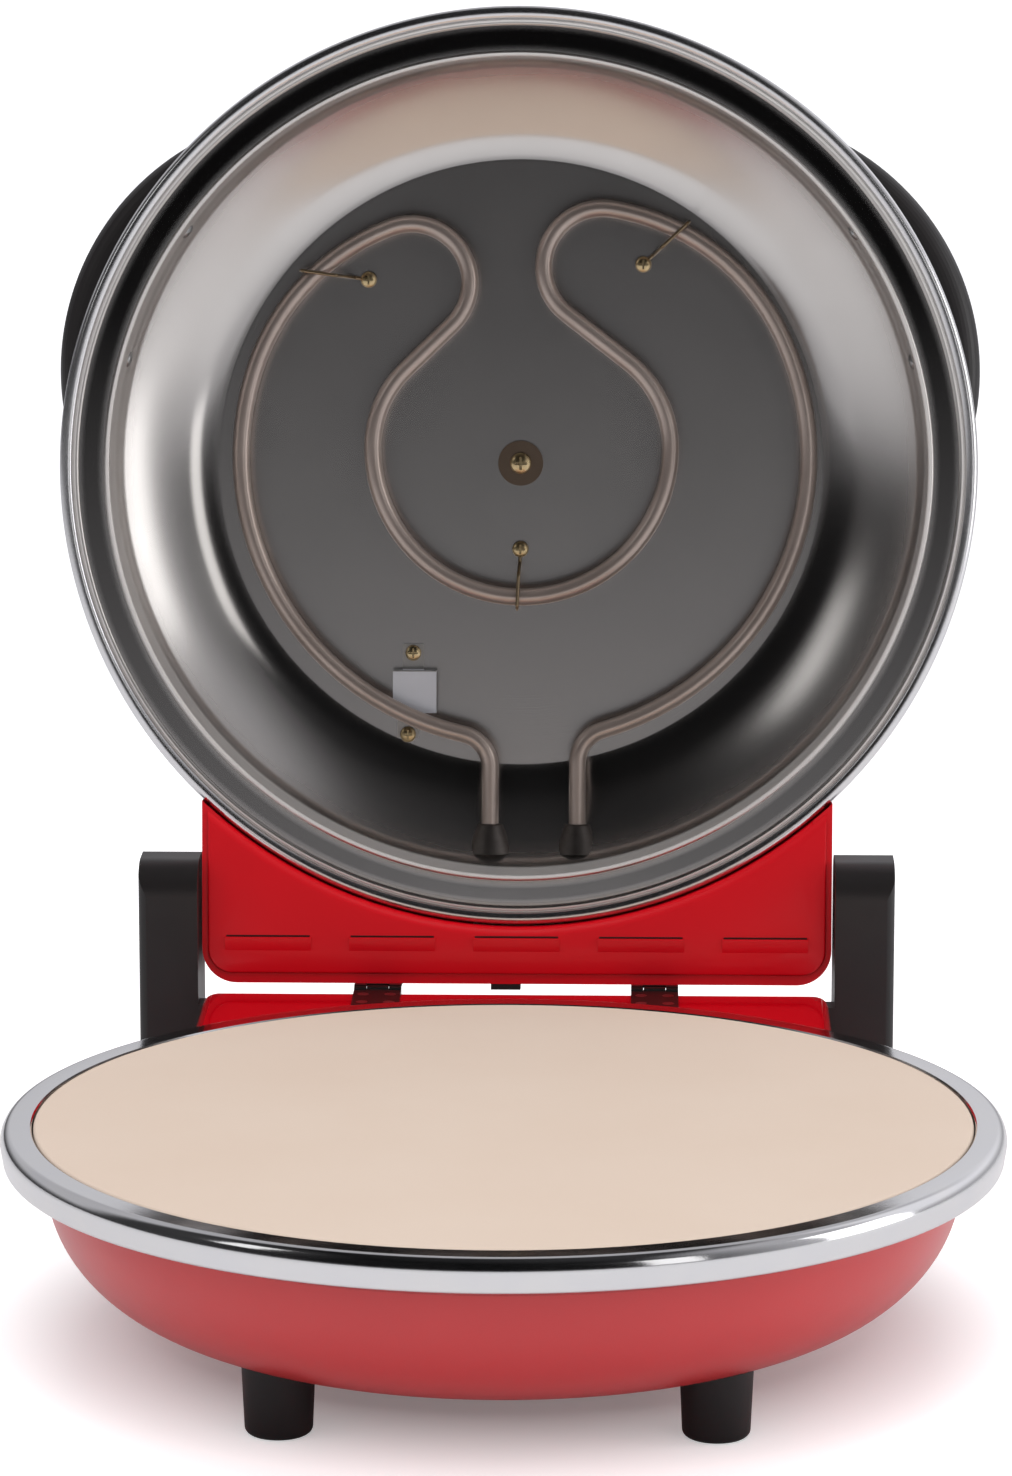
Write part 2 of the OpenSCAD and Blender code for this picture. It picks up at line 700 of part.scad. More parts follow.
module sensor_strap() {
    foot_l = 10.5;
    rise = bulb_d + 0.6;
    t = 0.6;
    color("gainsboro") lid_frame()
        translate([strap_x, strap_y, lid_z + plate_depth + plate_step]) mirror([0, 0, 1]) {
        difference() {
            translate([-strap_w / 2, -strap_l / 2, 0]) cube([strap_w, strap_l, rise + t]);
            translate([-strap_w, -strap_l / 2 + t, -1]) cube([2 * strap_w, strap_l - 2 * t, rise + 1]);
        }
        for (i = [0, 1]) {
            p = strap_screw_points[i] - [strap_x, strap_y];
            side = i == 0 ? -1 : 1;
            difference() {
                translate([p[0] - 4, side > 0 ? strap_l / 2 - t : -strap_l / 2 + t - foot_l, 0])
                    cube([8, foot_l, t]);
                translate([p[0], p[1], -1]) cylinder(h = 3, d = 3.2);
            }
        }
    }
}

module strap_screws() {
    color("khaki") lid_frame() translate([0, 0, lid_z + plate_depth + plate_step]) mirror([0, 0, 1])
        for (p = strap_screw_points) translate([p[0], p[1], 0.6]) pan_screw(3, 6);
}

module sensor_bulb() {
    color("peru") lid_frame() translate([strap_x - 3, strap_y,
        lid_z + plate_depth + plate_step - 0.2 - bulb_d / 2])
        rotate([0, 90, 0]) cylinder(h = bulb_l, d = bulb_d);
}

// The capillary runs between the reflector and the dome, then through the dome's wall
capillary_h = plate_depth - 7.5;
capillary_d = 1.8;

module sensor_capillary() {
    low = lid_z + plate_depth + plate_step - 0.2 - bulb_d / 2;
    color("peru") lid_frame() wire([
        [strap_x - 4.1, strap_y, low],
        [capillary_x, strap_y, low],
        [capillary_x, strap_y, lid_z + plate_depth + 7],
        [leg_mid, gap_r(plate_depth + 4), lid_z + plate_depth + 4],
        [leg_mid, gap_r(plate_depth - 1), lid_z + plate_depth - 1],
        [leg_mid, gap_r(capillary_h), lid_z + capillary_h],
        [leg_mid, knob_y - thermostat_d / 2 - 1.2, lid_z + capillary_h]], capillary_d, $fn = 24);
}

// Rear housings

module plan(w, y0, y1, r) {
    translate([-w, y0]) square([2 * w, y1 - y0 - r]);
    translate([r - w, y0]) square([2 * (w - r), y1 - y0]);
    for (s = [-1, 1]) translate([s * (w - r), y1 - r]) circle(r);
}

// Box with rounded upright rear corners and rounded top edges, from z0 up to z1
module soft_box(w, y0, y1, z0, z1, r, edge) {
    intersection() {
        translate([0, 0, z0]) linear_extrude(z1 - z0) plan(w, y0, y1, r);
        translate([0, y1, 0]) rotate([90, 0, 0]) linear_extrude(y1 - y0) plan(w, z0, z1, edge);
        translate([-w, 0, 0]) rotate([90, 0, 90]) linear_extrude(2 * w) union() {
            translate([y0, z0]) square([y1 - y0, z1 - z0 - edge]);
            translate([y0, z0]) square([y1 - y0 - edge, z1 - z0]);
            translate([y1 - edge, z1 - edge]) circle(edge);
        }
    }
}

house_half = house_w / 2;
base_half = house_half - base_inset;
house_front = 84;
lip_w = 7;

module lid_housing() {
    t = sheet_t;
    color("firebrick") lid_frame() difference() {
        soft_box(house_half, house_front, house_rear, lip_z, house_top_z, house_corner, house_edge);
        soft_box(house_half - t, house_front - 1, house_rear - t, lip_z + t, house_top_z - t,
            house_corner - t, house_edge - t);
        translate([0, 0, lip_z - 1]) linear_extrude(t + 2)
            plan(house_half - lip_w, house_front - 1, house_rear - lip_w, house_corner - 3);
        translate([0, 0, lid_z]) dome_space(seat);
        translate([0, knob_y, house_top_z - 2]) cylinder(h = 4, d = neck_hole_d);
        translate([lamp_x, knob_y, house_top_z - 2]) cylinder(h = 4, d = lamp_d - 2);
        for (s = [-1, 1], x = [-1, 1]) translate([s * hinge_x + x * screw_x, house_rear, lid_screw_z])
            rotate([-90, 0, 0]) cylinder(h = 8, d = 3.2, center = true);
        translate([grommet_x, house_rear, grommet_z]) cube([grommet_w, 6, grommet_h], center = true);
    }
}

// Pressed cover under the lid housing, with a row of louvres that open forwards
cover_t = sheet_t;
cover_corner = house_corner - 3;
louvre_y = house_rear - 17.3;

module louvre_section(h, d) {
    polygon(concat([[0, 0]], oval(0, 0, d, h, 0, 90, 6)));
}

// A louvre that bulges along -z, its open side facing -y
module louvre(w, d, h) {
    mirror([0, 0, 1]) {
        translate([-w / 2 + d, 0, 0]) rotate([90, 0, 90]) linear_extrude(w - 2 * d) louvre_section(h, d);
        translate([w / 2 - d, 0, 0]) rotate_extrude(angle = 90) louvre_section(h, d);
        translate([d - w / 2, 0, 0]) rotate([0, 0, 90]) rotate_extrude(angle = 90) louvre_section(h, d);
    }
}

module lid_housing_cover() {
    face = lip_z - cover_proud;
    w = house_half - cover_side;
    rear = house_rear - cover_rear;
    color("firebrick") lid_frame() difference() {
        union() {
            difference() {
                translate([0, 0, face]) linear_extrude(cover_proud)
                    plan(w, house_front, rear, cover_corner);
                translate([0, 0, face + cover_t]) linear_extrude(cover_proud)
                    plan(w - cover_t, house_front - 1, rear - cover_t, cover_corner - cover_t);
            }
            for (i = [0 : louvre_n - 1]) translate([(i - (louvre_n - 1) / 2) * louvre_pitch, louvre_y, face])
                louvre(louvre_w, louvre_d, louvre_h - cover_t);
        }
        for (i = [0 : louvre_n - 1]) translate([(i - (louvre_n - 1) / 2) * louvre_pitch, louvre_y, face])
            translate([0, -0.01, cover_t + 0.01])
            louvre(louvre_w - 2 * cover_t, louvre_d - cover_t, louvre_h - cover_t);
        translate([0, 0, lid_z]) dome_space(seat);
    }
}

module base_housing() {
    t = sheet_t;
    low = base_top_z - base_house_h;
    color("firebrick") base_frame() difference() {
        soft_box(base_half, house_front, house_rear, low, base_top_z, house_corner, house_edge - 1);
        soft_box(base_half - t, house_front - 1, house_rear - t, low - 1, base_top_z - t,
            house_corner - t, house_edge - 1 - t);
        translate([0, 0, rim_z]) bowl_space(seat);
        for (s = [-1, 1], x = [-1, 1], y = leaf_screw_ys())
            translate([s * hinge_x + x * screw_x, y, base_top_z]) cylinder(h = 8, d = 3.2, center = true);
        for (s = [-1, 1], z = stand_screw_zs()) translate([s * stand_screw_x, house_rear, z])
            rotate([-90, 0, 0]) cylinder(h = 8, d = 4.2, center = true);
        translate([gland_x, house_rear, gland_z]) rotate([-90, 0, 0])
            cylinder(h = 8, d = gland_d + 2 * nest, center = true);
    }
}

floor_inset = sheet_t + nest;
floor_screw_x = 92;
floor_screw_in = 12;
floor_slot_l = 26;
floor_slot_w = 4;
floor_slot_in = 42;
floor_slot_span = 60;
floor_slot_pitch = 20;

module base_housing_floor() {
    z = base_top_z - base_house_h;
    color("dimgray") base_frame() difference() {
        translate([0, 0, z + 1]) linear_extrude(sheet_t)
            plan(base_half - floor_inset, house_front, house_rear - floor_inset, house_corner - floor_inset);
        translate([0, 0, rim_z]) bowl_space(seat);
        for (x = [-floor_slot_span : floor_slot_pitch : floor_slot_span])
            translate([x - floor_slot_w / 2, house_rear - floor_slot_in, z]) cube([floor_slot_w, floor_slot_l, 4]);
        for (s = [-1, 1]) translate([s * floor_screw_x, house_rear - floor_screw_in, z])
            cylinder(h = 4, d = 3.3);
    }
}

module floor_screws() {
    z = base_top_z - base_house_h + 1;
    color("silver") base_frame() for (s = [-1, 1])
        translate([s * floor_screw_x, house_rear - floor_screw_in, z]) mirror([0, 0, 1]) pan_screw(3, 8);
}

// Cord gland and terminal block in the base housing
gland_x = -70;
gland_d = 14;
gland_bore = 7.5;
gland_drop = 26;
gland_z = base_top_z - gland_drop;

module cord_gland() {
    color("dimgray") base_frame() translate([gland_x, house_rear, gland_z]) rotate([-90, 0, 0])
        difference() {
            union() {
                cylinder(h = 3, d = gland_d + 5);
                translate([0, 0, -7]) cylinder(h = 10, d = gland_d);
                translate([0, 0, 3]) cylinder(h = 6, d1 = gland_d, d2 = gland_d - 3);
                translate([0, 0, -sheet_t - 2.5]) cylinder(h = 2.4, d = gland_d + 4);
            }
            translate([0, 0, -8]) cylinder(h = 20, d = gland_bore);
        }
}

terminal_w = 48;
terminal_d = 14;
terminal_in = 26;
terminal_pitch = 16;

module terminal_block() {
    z = base_top_z - base_house_h + 1 + sheet_t;
    color("ivory") base_frame() difference() {
        translate([-terminal_w / 2, house_rear - terminal_in, z]) cube([terminal_w, terminal_d, terminal_d]);
        for (x = [-terminal_pitch, 0, terminal_pitch]) translate([x, house_rear - terminal_in, z]) {
            translate([0, terminal_d / 2, 6]) cylinder(h = 20, d = 5);
            translate([0, -4, 5]) rotate([-90, 0, 0]) cylinder(h = 30, d = 3.4);
        }
    }
}

grommet_x = -4;
grommet_w = 9;
grommet_h = 5;
grommet_t = 2.2;
grommet_z = lip_z + 3.6;

module wiring_grommet() {
    color("dimgray") lid_frame() translate([grommet_x, house_rear, grommet_z]) difference() {
        union() {
            translate([-grommet_w / 2 - 1, 0, -grommet_h / 2 - 1]) cube([grommet_w + 2, grommet_t, grommet_h + 2]);
            translate([-grommet_w / 2, -2.6, -grommet_h / 2]) cube([grommet_w, 3, grommet_h]);
        }
        rotate([-90, 0, 0]) translate([0, 0, -4]) cylinder(h = 10, d = 3.6);
    }
}

// Hinges

screw_x = 5;
barrel_w = 8;
side_w = (hinge_w - barrel_w) / 2 - 0.25;
lid_screw_z = lid_z + 9;
function leaf_screw_ys() = [house_rear - leaf_l + 5.5, house_rear - 6.5];

module leaf_base() {
    top = base_top_z + leaf_t;
    difference() {
        union() {
            translate([-hinge_w / 2, house_rear - leaf_l, base_top_z]) cube([hinge_w, leaf_l - seat, leaf_t]);
            translate([-barrel_w / 2, house_rear - 1, base_top_z]) cube([barrel_w, pin_back + 1, leaf_t]);
            translate([-barrel_w / 2, hinge_y, hinge_z]) rotate([0, 90, 0]) cylinder(h = barrel_w, d = knuckle_d);
        }
        translate([-hinge_w, hinge_y, hinge_z]) rotate([0, 90, 0]) cylinder(h = 2 * hinge_w, d = pin_d);
        for (x = [-screw_x, screw_x], y = leaf_screw_ys())
            translate([x, y, top]) flush_hole(2.2, 6);
    }
}

module leaf_lid() {
    low = hinge_z;
    difference() {
        union() {
            translate([-hinge_w / 2, house_rear, low]) cube([hinge_w, leaf_t, leaf_l]);
            for (s = [-1, 1]) translate([s * (hinge_w - side_w) / 2, hinge_y, hinge_z]) rotate([0, 90, 0])
                cylinder(h = side_w, d = knuckle_d, center = true);
            for (s = [-1, 1]) translate([s * (hinge_w - side_w) / 2 - side_w / 2, house_rear, hinge_z])
                cube([side_w, pin_back, knuckle_d / 2]);
        }
        translate([-hinge_w, hinge_y, hinge_z]) rotate([0, 90, 0])
            cylinder(h = 2 * hinge_w, d = pin_d + 2 * pin_gap);
        translate([-barrel_w / 2 - 0.25, house_rear - 1, hinge_z - 4])
            cube([barrel_w + 0.5, pin_back + 4, knuckle_d / 2 + 4.4]);
        for (x = [-screw_x, screw_x]) translate([x, house_rear + leaf_t, lid_screw_z])
            rotate([-90, 0, 0]) flush_hole(2.2, 6);
    }
}

module hinge_base_leaf_left() { color("black") base_frame() translate([-hinge_x, 0, 0]) leaf_base(); }

module hinge_base_leaf_right() { color("black") base_frame() translate([hinge_x, 0, 0]) leaf_base(); }

module hinge_lid_leaf_left() { color("black") lid_frame() translate([-hinge_x, 0, 0]) leaf_lid(); }

module hinge_lid_leaf_right() { color("black") lid_frame() translate([hinge_x, 0, 0]) leaf_lid(); }

module hinge_pins() {
    color("gray") base_frame() for (s = [-1, 1])
        translate([s * hinge_x - hinge_w / 2, hinge_y, hinge_z]) rotate([0, 90, 0])
            cylinder(h = hinge_w, d = pin_d);
}

module hinge_base_screws() {
    color("gray") base_frame() for (s = [-1, 1], x = [-1, 1], y = leaf_screw_ys())
        translate([s * hinge_x + x * screw_x, y, base_top_z + leaf_t]) flush_screw(2.2, 5);
}

module hinge_lid_screws() {
    color("gray") lid_frame() for (s = [-1, 1], x = [-1, 1])
        translate([s * hinge_x + x * screw_x, house_rear + leaf_t, lid_screw_z])
            rotate([-90, 0, 0]) flush_screw(2.2, 5);
}

// Rear stands and front feet

stand_in = house_half + stand_gap;
stand_top = rim_z + stand_rise;
stand_edge = 3;
lug_l = 26;
lug_d = 10;
lug_top = base_top_z - 5;
lug_h = 34;
stand_screw_x = stand_in - lug_l + 6.5;
function stand_screw_zs() = [lug_top - lug_h + 8, lug_top - 8];

// Right-hand stand; its lug lies against the base housing's rear wall
module stand() {
    rear = house_rear + stand_d;
    difference() {
        union() {
            intersection() {
                translate([stand_in, 0, 0]) rotate([90, 0, 90]) linear_extrude(stand_w) union() {
                    translate([house_rear, 0]) square([stand_d, stand_top - stand_round]);
                    translate([house_rear + stand_round, 0]) square([stand_d - 2 * stand_round, stand_top]);
                    for (y = [house_rear + stand_round, rear - stand_round])
                        translate([y, stand_top - stand_round]) circle(stand_round);
                }
                linear_extrude(stand_top) union() {
                    translate([stand_in, house_rear]) square([stand_w - stand_edge, stand_d]);
                    translate([stand_in, house_rear + stand_edge]) square([stand_w, stand_d - 2 * stand_edge]);
                    for (y = [house_rear + stand_edge, rear - stand_edge])
                        translate([stand_in + stand_w - stand_edge, y]) circle(stand_edge);
                }
            }
            translate([stand_in - lug_l, house_rear, lug_top - lug_h]) cube([lug_l + 1, lug_d, lug_h]);
        }
        for (z = stand_screw_zs()) translate([stand_screw_x, house_rear - 1, z])
            rotate([-90, 0, 0]) cylinder(h = 9, d = 3.2);
        for (y = [house_rear + 12, rear - 12]) translate([stand_in + stand_w / 2, y, -1])
            cylinder(h = 31, d = 9);
    }
}

module rear_stand_right() { color("dimgray") base_frame() stand(); }

module rear_stand_left() { color("dimgray") base_frame() mirror([1, 0, 0]) stand(); }

module stand_screws() {
    color("silver") base_frame() for (s = [-1, 1], z = stand_screw_zs())
        translate([s * stand_screw_x, house_rear - sheet_t, z]) rotate([90, 0, 0]) pan_screw(3.2, 8);
}

foot_recess = 9;

module front_foot_right() { color("dimgray") base_frame() translate([foot_x, -foot_y, 0]) foot_at(1); }

module front_foot_left() { color("dimgray") base_frame() translate([-foot_x, -foot_y, 0]) foot_at(-1); }

// A foot whose top is cut to the bowl; side is 1 on the right
module foot_at(side) {
    h = rim_z - bowl_drop + 6;
    round_r = 2.5;
    difference() {
        rotate_extrude() polygon(concat([[0, 0]],
            arc(foot_d / 2 - 1 - round_r, round_r, round_r, -90, 0),
            [[foot_d / 2, h], [0, h]]));
        translate([-side * foot_x, foot_y, rim_z]) bowl_space(nest);
        translate([0, 0, -1]) cylinder(h = h + 2, d = 4.3);
        translate([0, 0, -1]) cylinder(h = foot_recess + 1, d = 9.5);
    }
}

module foot_screws() {
    color("silver") base_frame() for (s = [-1, 1])
        translate([s * foot_x, -foot_y, foot_recess]) mirror([0, 0, 1]) pan_screw(4, 16);
}

// Handles

// The handle is a disc segment whose rim passes through the lid's rim at both ends
chord_half = rim_r * sin(handle_half);
chord_mid = rim_r * cos(handle_half);
handle_rise = handle_r - chord_mid;
handle_disc_r = (chord_half * chord_half + handle_rise * handle_rise) / (2 * handle_rise);
handle_c = handle_r - handle_disc_r;
handle_edge = 7;
handle_wall = 3.5;
boss_d = 9;
boss_l = 36;

module handle_place(s) {
    rotate([0, 0, s > 0 ? -handle_angle : 180 + handle_angle]) translate([handle_c, 0, handle_low]) children();
}

module handle_screw_place(s, k) {
    h = handle_low + handle_t / 2;
    rotate([0, 0, (s > 0 ? -handle_angle : 180 + handle_angle) + k * 10])
        translate([dome_r(h), 0, h]) rotate([0, 90, 0]) children();
}

module handle(s) {
    e = handle_edge;
    w = handle_wall;
    difference() {
        handle_place(s) rotate_extrude() polygon(concat([[0, 0]],
            arc(handle_disc_r - e, e, e, -90, 0), arc(handle_disc_r - e, handle_t - e, e, 0, 90),
            [[0, handle_t]]));
        difference() {
            handle_place(s) translate([0, 0, -1]) cylinder(h = handle_t + 1 - w, r = handle_disc_r - e - w);
            dome_space(seat + 5);
            for (k = [-1, 1]) handle_screw_place(s, k) cylinder(h = boss_l, d = boss_d);
        }
        dome_space(nest);
        for (k = [-1, 1]) handle_screw_place(s, k) cylinder(h = 24, d = 3, center = true);
    }
}

module handle_right() { color("dimgray") lid_frame() translate([0, 0, lid_z]) handle(1); }

module handle_left() { color("dimgray") lid_frame() translate([0, 0, lid_z]) handle(-1); }

module handle_screws() {
    color("silver") lid_frame() translate([0, 0, lid_z])
        for (s = [-1, 1], k = [-1, 1]) handle_screw_place(s, k)
            translate([0, 0, -sheet_t - 1.1]) mirror([0, 0, 1]) pan_screw(3, 11);
}

// Thermostat, dial, knob and pilot lamp on the lid housing's top

thermostat_h = 15;
thermostat_w = 34;
thermostat_d = 22;
neck_d = 10;
neck_hole_d = neck_d + 2 * nest;

module thermostat_body() {
    top = house_top_z - sheet_t;
    color("ivory") lid_frame() difference() {
        union() {
            translate([-thermostat_w / 2, knob_y - thermostat_d / 2, top - thermostat_h])
                cube([thermostat_w, thermostat_d, thermostat_h]);
            translate([0, knob_y, top - 1]) cylinder(h = 1 + sheet_t + dial_t, d = neck_d);
        }
        translate([0, knob_y, top - 10]) cylinder(h = 20, d = shaft_d + 2 * shaft_gap);
    }
}

module dial_plate() {
    color("silver") lid_frame() translate([0, knob_y, house_top_z]) difference() {
        cylinder(h = dial_t, d = dial_d);
        translate([0, 0, -1]) cylinder(h = 3, d = neck_hole_d);
    }
}

knob_lift = 0.5;

module thermostat_shaft() {
    low = house_top_z - sheet_t - 9.6;
    color("khaki") lid_frame() translate([0, knob_y, low])
        cylinder(h = house_top_z + dial_t + knob_lift + knob_h - 5 - low, d = shaft_d);
}

knob_taper = 1.2;
flute_n = 18;

module thermostat_knob() {
    grip_r = knob_d / 2 - 3.5;
    color("dimgray") lid_frame() translate([0, knob_y, house_top_z + dial_t + knob_lift]) difference() {
        rotate_extrude() polygon(concat([[0, 0], [knob_d / 2, 0], [knob_d / 2, 2]],
            [[grip_r + 0.6, 3.2], [grip_r - knob_taper + 0.3, knob_h - 2]],
            arc(grip_r - knob_taper - 1.7, knob_h - 2, 2, 0, 90, 5), [[0, knob_h]]));
        for (i = [0 : flute_n - 1]) rotate([0, 0, (i + 0.5) * 360 / flute_n])
            translate([grip_r + 1.1, 0, 3.6]) cylinder(h = knob_h, d = 2.6);
        translate([0, 0, -1]) cylinder(h = knob_h - 4 + nest, d = shaft_d);
        rotate([0, 0, 90]) translate([3, -pointer_w / 2, knob_h - 0.6]) cube([grip_r, pointer_w, 2]);
    }
}

pointer_w = 1.6;

module knob_pointer() {
    grip_r = knob_d / 2 - 3.5;
    color("white") lid_frame() translate([0, knob_y, house_top_z + dial_t + knob_lift])
        rotate([0, 0, 90]) translate([3, -pointer_w / 2, knob_h - 0.6])
            cube([grip_r - knob_taper - 5.2, pointer_w, 0.8]);
}

module pilot_lamp() {
    color("orange") lid_frame() translate([lamp_x, knob_y, house_top_z]) union() {
        rotate_extrude() polygon(concat([[0, 0], [lamp_d / 2, 0]],
            oval(0, 0.8, lamp_d / 2, 2.4, 0, 90, 8)));
        translate([0, 0, -14]) cylinder(h = 14.5, d = lamp_d - 2 - 2 * nest);
    }
}

base_shell();
base_rim();
base_reflector();
base_element();
base_element_bushings();
base_element_clips();
base_clip_screws();
base_centre_post();
base_centre_screw();
baking_stone();
base_housing();
base_housing_floor();
floor_screws();
rear_stand_left();
rear_stand_right();
stand_screws();
front_foot_left();
front_foot_right();
foot_screws();
hinge_base_leaf_left();
hinge_base_leaf_right();
hinge_pins();
hinge_base_screws();
cord_gland();
terminal_block();
lid_shell();
lid_rim();
lid_reflector();
lid_element();
lid_element_bushings();
lid_element_clips();
lid_clip_screws();
lid_centre_post();
lid_centre_screw();
lid_centre_washer();
sensor_strap();
strap_screws();
sensor_bulb();
sensor_capillary();
lid_housing();
lid_housing_cover();
wiring_grommet();
thermostat_body();
dial_plate();
pilot_lamp();
handle_left();
handle_right();
handle_screws();
hinge_lid_leaf_left();
hinge_lid_leaf_right();
hinge_lid_screws();
thermostat_knob();
thermostat_shaft();
knob_pointer();
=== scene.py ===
"""Electric pizza maker: a round base with a baking stone, and a domed lid that swings on a rear hinge."""

import json
import math

import bmesh
import bpy
from mathutils import Matrix, Vector


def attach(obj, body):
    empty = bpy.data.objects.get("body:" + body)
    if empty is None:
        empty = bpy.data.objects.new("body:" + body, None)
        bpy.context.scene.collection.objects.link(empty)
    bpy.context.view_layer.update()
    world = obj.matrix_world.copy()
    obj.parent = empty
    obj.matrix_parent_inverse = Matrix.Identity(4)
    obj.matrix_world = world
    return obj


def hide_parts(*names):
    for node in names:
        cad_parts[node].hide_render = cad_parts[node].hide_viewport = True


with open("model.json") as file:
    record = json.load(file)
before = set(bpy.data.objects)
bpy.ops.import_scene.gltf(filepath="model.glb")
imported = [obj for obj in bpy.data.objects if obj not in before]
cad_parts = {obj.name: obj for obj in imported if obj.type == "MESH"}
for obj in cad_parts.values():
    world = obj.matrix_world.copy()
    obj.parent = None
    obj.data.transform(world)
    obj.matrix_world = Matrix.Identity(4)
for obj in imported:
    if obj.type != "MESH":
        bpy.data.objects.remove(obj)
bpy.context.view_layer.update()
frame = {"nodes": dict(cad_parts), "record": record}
nodes = frame["nodes"]

# Bowl: drawn steel sheet with satin red lacquer, gripped at its edge by the rim, over a short neck.
# Sizes are in millimetres about the stone's axis, which lies MIDDLE_Y in front of the middle of the object's
# box, and a piece's placing turns them to metres.
RIM_Z = 84
EDGE_R = 163
EDGE_Z = 12.91
NECK_R = 155
NECK_TOP = 15.29
NECK_Z = 17
BOWL_FLAT_R = 100
BOWL_DEPTH = 64.7
SHEET_T = 0.8
MIDDLE_Y = 67.1454
BASE = Matrix.Scale(0.001, 4) @ Matrix.Translation((0, -MIDDLE_Y, 0))
BASE_RIM = BASE @ Matrix.Translation((0, 0, RIM_Z))


def linear(shade):
    """The linear colour of a shade that is written as six hex digits."""
    parts = [int(shade[i : i + 2], 16) / 255 for i in (0, 2, 4)]
    return [c / 12.92 if c < 0.04045 else ((c + 0.055) / 1.055) ** 2.4 for c in parts] + [1]


def add(tree, kind, links=(), **settings):
    """Adds a node; links maps its inputs to values or to other nodes' outputs."""
    node = tree.nodes.new(kind)
    for name, value in settings.items():
        setattr(node, name, value)
    for name, value in dict(links).items():
        if isinstance(value, bpy.types.NodeSocket):
            tree.links.new(value, node.inputs[name])
        else:
            node.inputs[name].default_value = value
    return node


def finish_named(name):
    """A new material, its node tree and its shader."""
    material = bpy.data.materials.new(name)
    material.use_nodes = True
    return material, material.node_tree, material.node_tree.nodes["Principled BSDF"]


def draw(bm, start, steps):
    """Draws an outline in x and z; a step is a point, or an arc's centre, turn and stretch in x and z."""
    tip = bm.verts.new((start[0], 0, start[1]))
    for step in steps:
        if len(step) == 2:
            end = bm.verts.new((step[0], 0, step[1]))
            bm.edges.new((tip, end))
        else:
            x, z, turn, wide, tall = *step, *(1, 1)[: 5 - len(step)]
            old = set(bm.verts)
            arc = bmesh.ops.spin(bm, geom=[tip], cent=(x, 0, z), axis=(0, -1, 0), angle=math.radians(turn),
                                 steps=max(4, round(abs(turn) / 3)))
            end = arc["geom_last"][0]
            bmesh.ops.scale(bm, verts=[v for v in bm.verts if v not in old], vec=(wide, 1, tall),
                            space=Matrix.Translation((-x, 0, -z)))
        tip = end
    return tip


def piece_of(bm, name, body, place, sharp=32):
    """Turns a finished bmesh into a piece that rides on a body."""
    bmesh.ops.remove_doubles(bm, verts=bm.verts, dist=0.002)
    bmesh.ops.transform(bm, matrix=place, verts=bm.verts)
    bmesh.ops.recalc_face_normals(bm, faces=bm.faces)
    mesh = bpy.data.meshes.new(name)
    bm.to_mesh(mesh)
    bm.free()
    mesh.shade_smooth()
    mesh.set_sharp_from_angle(angle=math.radians(sharp))
    piece = bpy.data.objects.new(name, mesh)
    bpy.context.scene.collection.objects.link(piece)
    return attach(piece, body)


def turned_piece(name, body, place, face, back=None, around=224):
    """Spins a half section round the upright axis. A sheet's face and back are drawn from the same edge."""
    bm = bmesh.new()
    ends = []
    for side in (face, back) if back else (face,):
        old = len(bm.verts)
        ends.append(draw(bm, side[0], side[1:]))
        bm.verts.ensure_lookup_table()
        ends.append(bm.verts[old])
    bm.edges.new((ends[0], ends[2] if back else ends[1]))
    if back:
        bm.edges.new((ends[1], ends[3]))
    bmesh.ops.spin(bm, geom=bm.verts[:] + bm.edges[:], cent=(0, 0, 0), axis=(0, 0, 1),
                   angle=math.tau, steps=around, use_merge=True)
    return piece_of(bm, name, body, place)


def dress(piece, material, slot, *replaced):
    """Gives a piece its finish, and hides the solids that it stands for. Its slot is not used."""
    piece.data.materials.clear()
    piece.data.materials.append(material)
    if replaced:
        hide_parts(*replaced)


def bowl_section(inset):
    """The bowl's outside from its edge to its middle, or its inside when that is set in by the sheet."""
    wide, tall = NECK_R - BOWL_FLAT_R - inset, BOWL_DEPTH - NECK_Z - inset
    return [(EDGE_R, inset - EDGE_Z), (NECK_R - inset, inset - NECK_TOP), (NECK_R - inset, -NECK_Z),
            (BOWL_FLAT_R, -NECK_Z, -90, 1, tall / wide), (0, inset - BOWL_DEPTH)]


bowl = turned_piece("bowl", "base", BASE_RIM, bowl_section(0), bowl_section(SHEET_T))


def lacquer(name, shade, deep, roughness):
    """Baked lacquer on steel: a faint orange peel of about 3 mm, and a clear gloss over the colour."""
    material, tree, shader = finish_named(name)
    place = add(tree, "ShaderNodeTexCoord")
    cloud = add(tree, "ShaderNodeTexNoise", {"Vector": place.outputs["Object"], "Scale": 18.0, "Detail": 3.0})
    tint = add(tree, "ShaderNodeMix", {0: cloud.outputs["Fac"], 6: linear(shade), 7: linear(deep)},
               data_type="RGBA")
    peel = add(tree, "ShaderNodeTexNoise", {"Vector": place.outputs["Object"], "Scale": 330.0, "Detail": 2.0})
    bump = add(tree, "ShaderNodeBump", {"Height": peel.outputs["Fac"], "Strength": 0.06, "Distance": 0.0004})
    rough = add(tree, "ShaderNodeMapRange", {"Value": cloud.outputs["Fac"], "To Min": roughness - 0.03,
                                             "To Max": roughness + 0.04})
    tree.links.new(tint.outputs[2], shader.inputs["Base Color"])
    tree.links.new(rough.outputs["Result"], shader.inputs["Roughness"])
    tree.links.new(bump.outputs["Normal"], shader.inputs["Normal"])
    return material, shader


satin_lacquer, shader = lacquer("satin_red_lacquer", "CE2C2E", "C4262A", 0.38)
shader.inputs["Coat Weight"].default_value = 0.5
shader.inputs["Coat Roughness"].default_value = 0.3
dress(bowl, satin_lacquer, "red_paint", "base_shell")

# Base rim: a rolled ring of bright stainless steel, with a flat top round the stone, a rounded shoulder and a
# band that turns under the bowl. It is polished in the round to a fine haze.
BAND_R = 169.2
RIM_T = 0.9


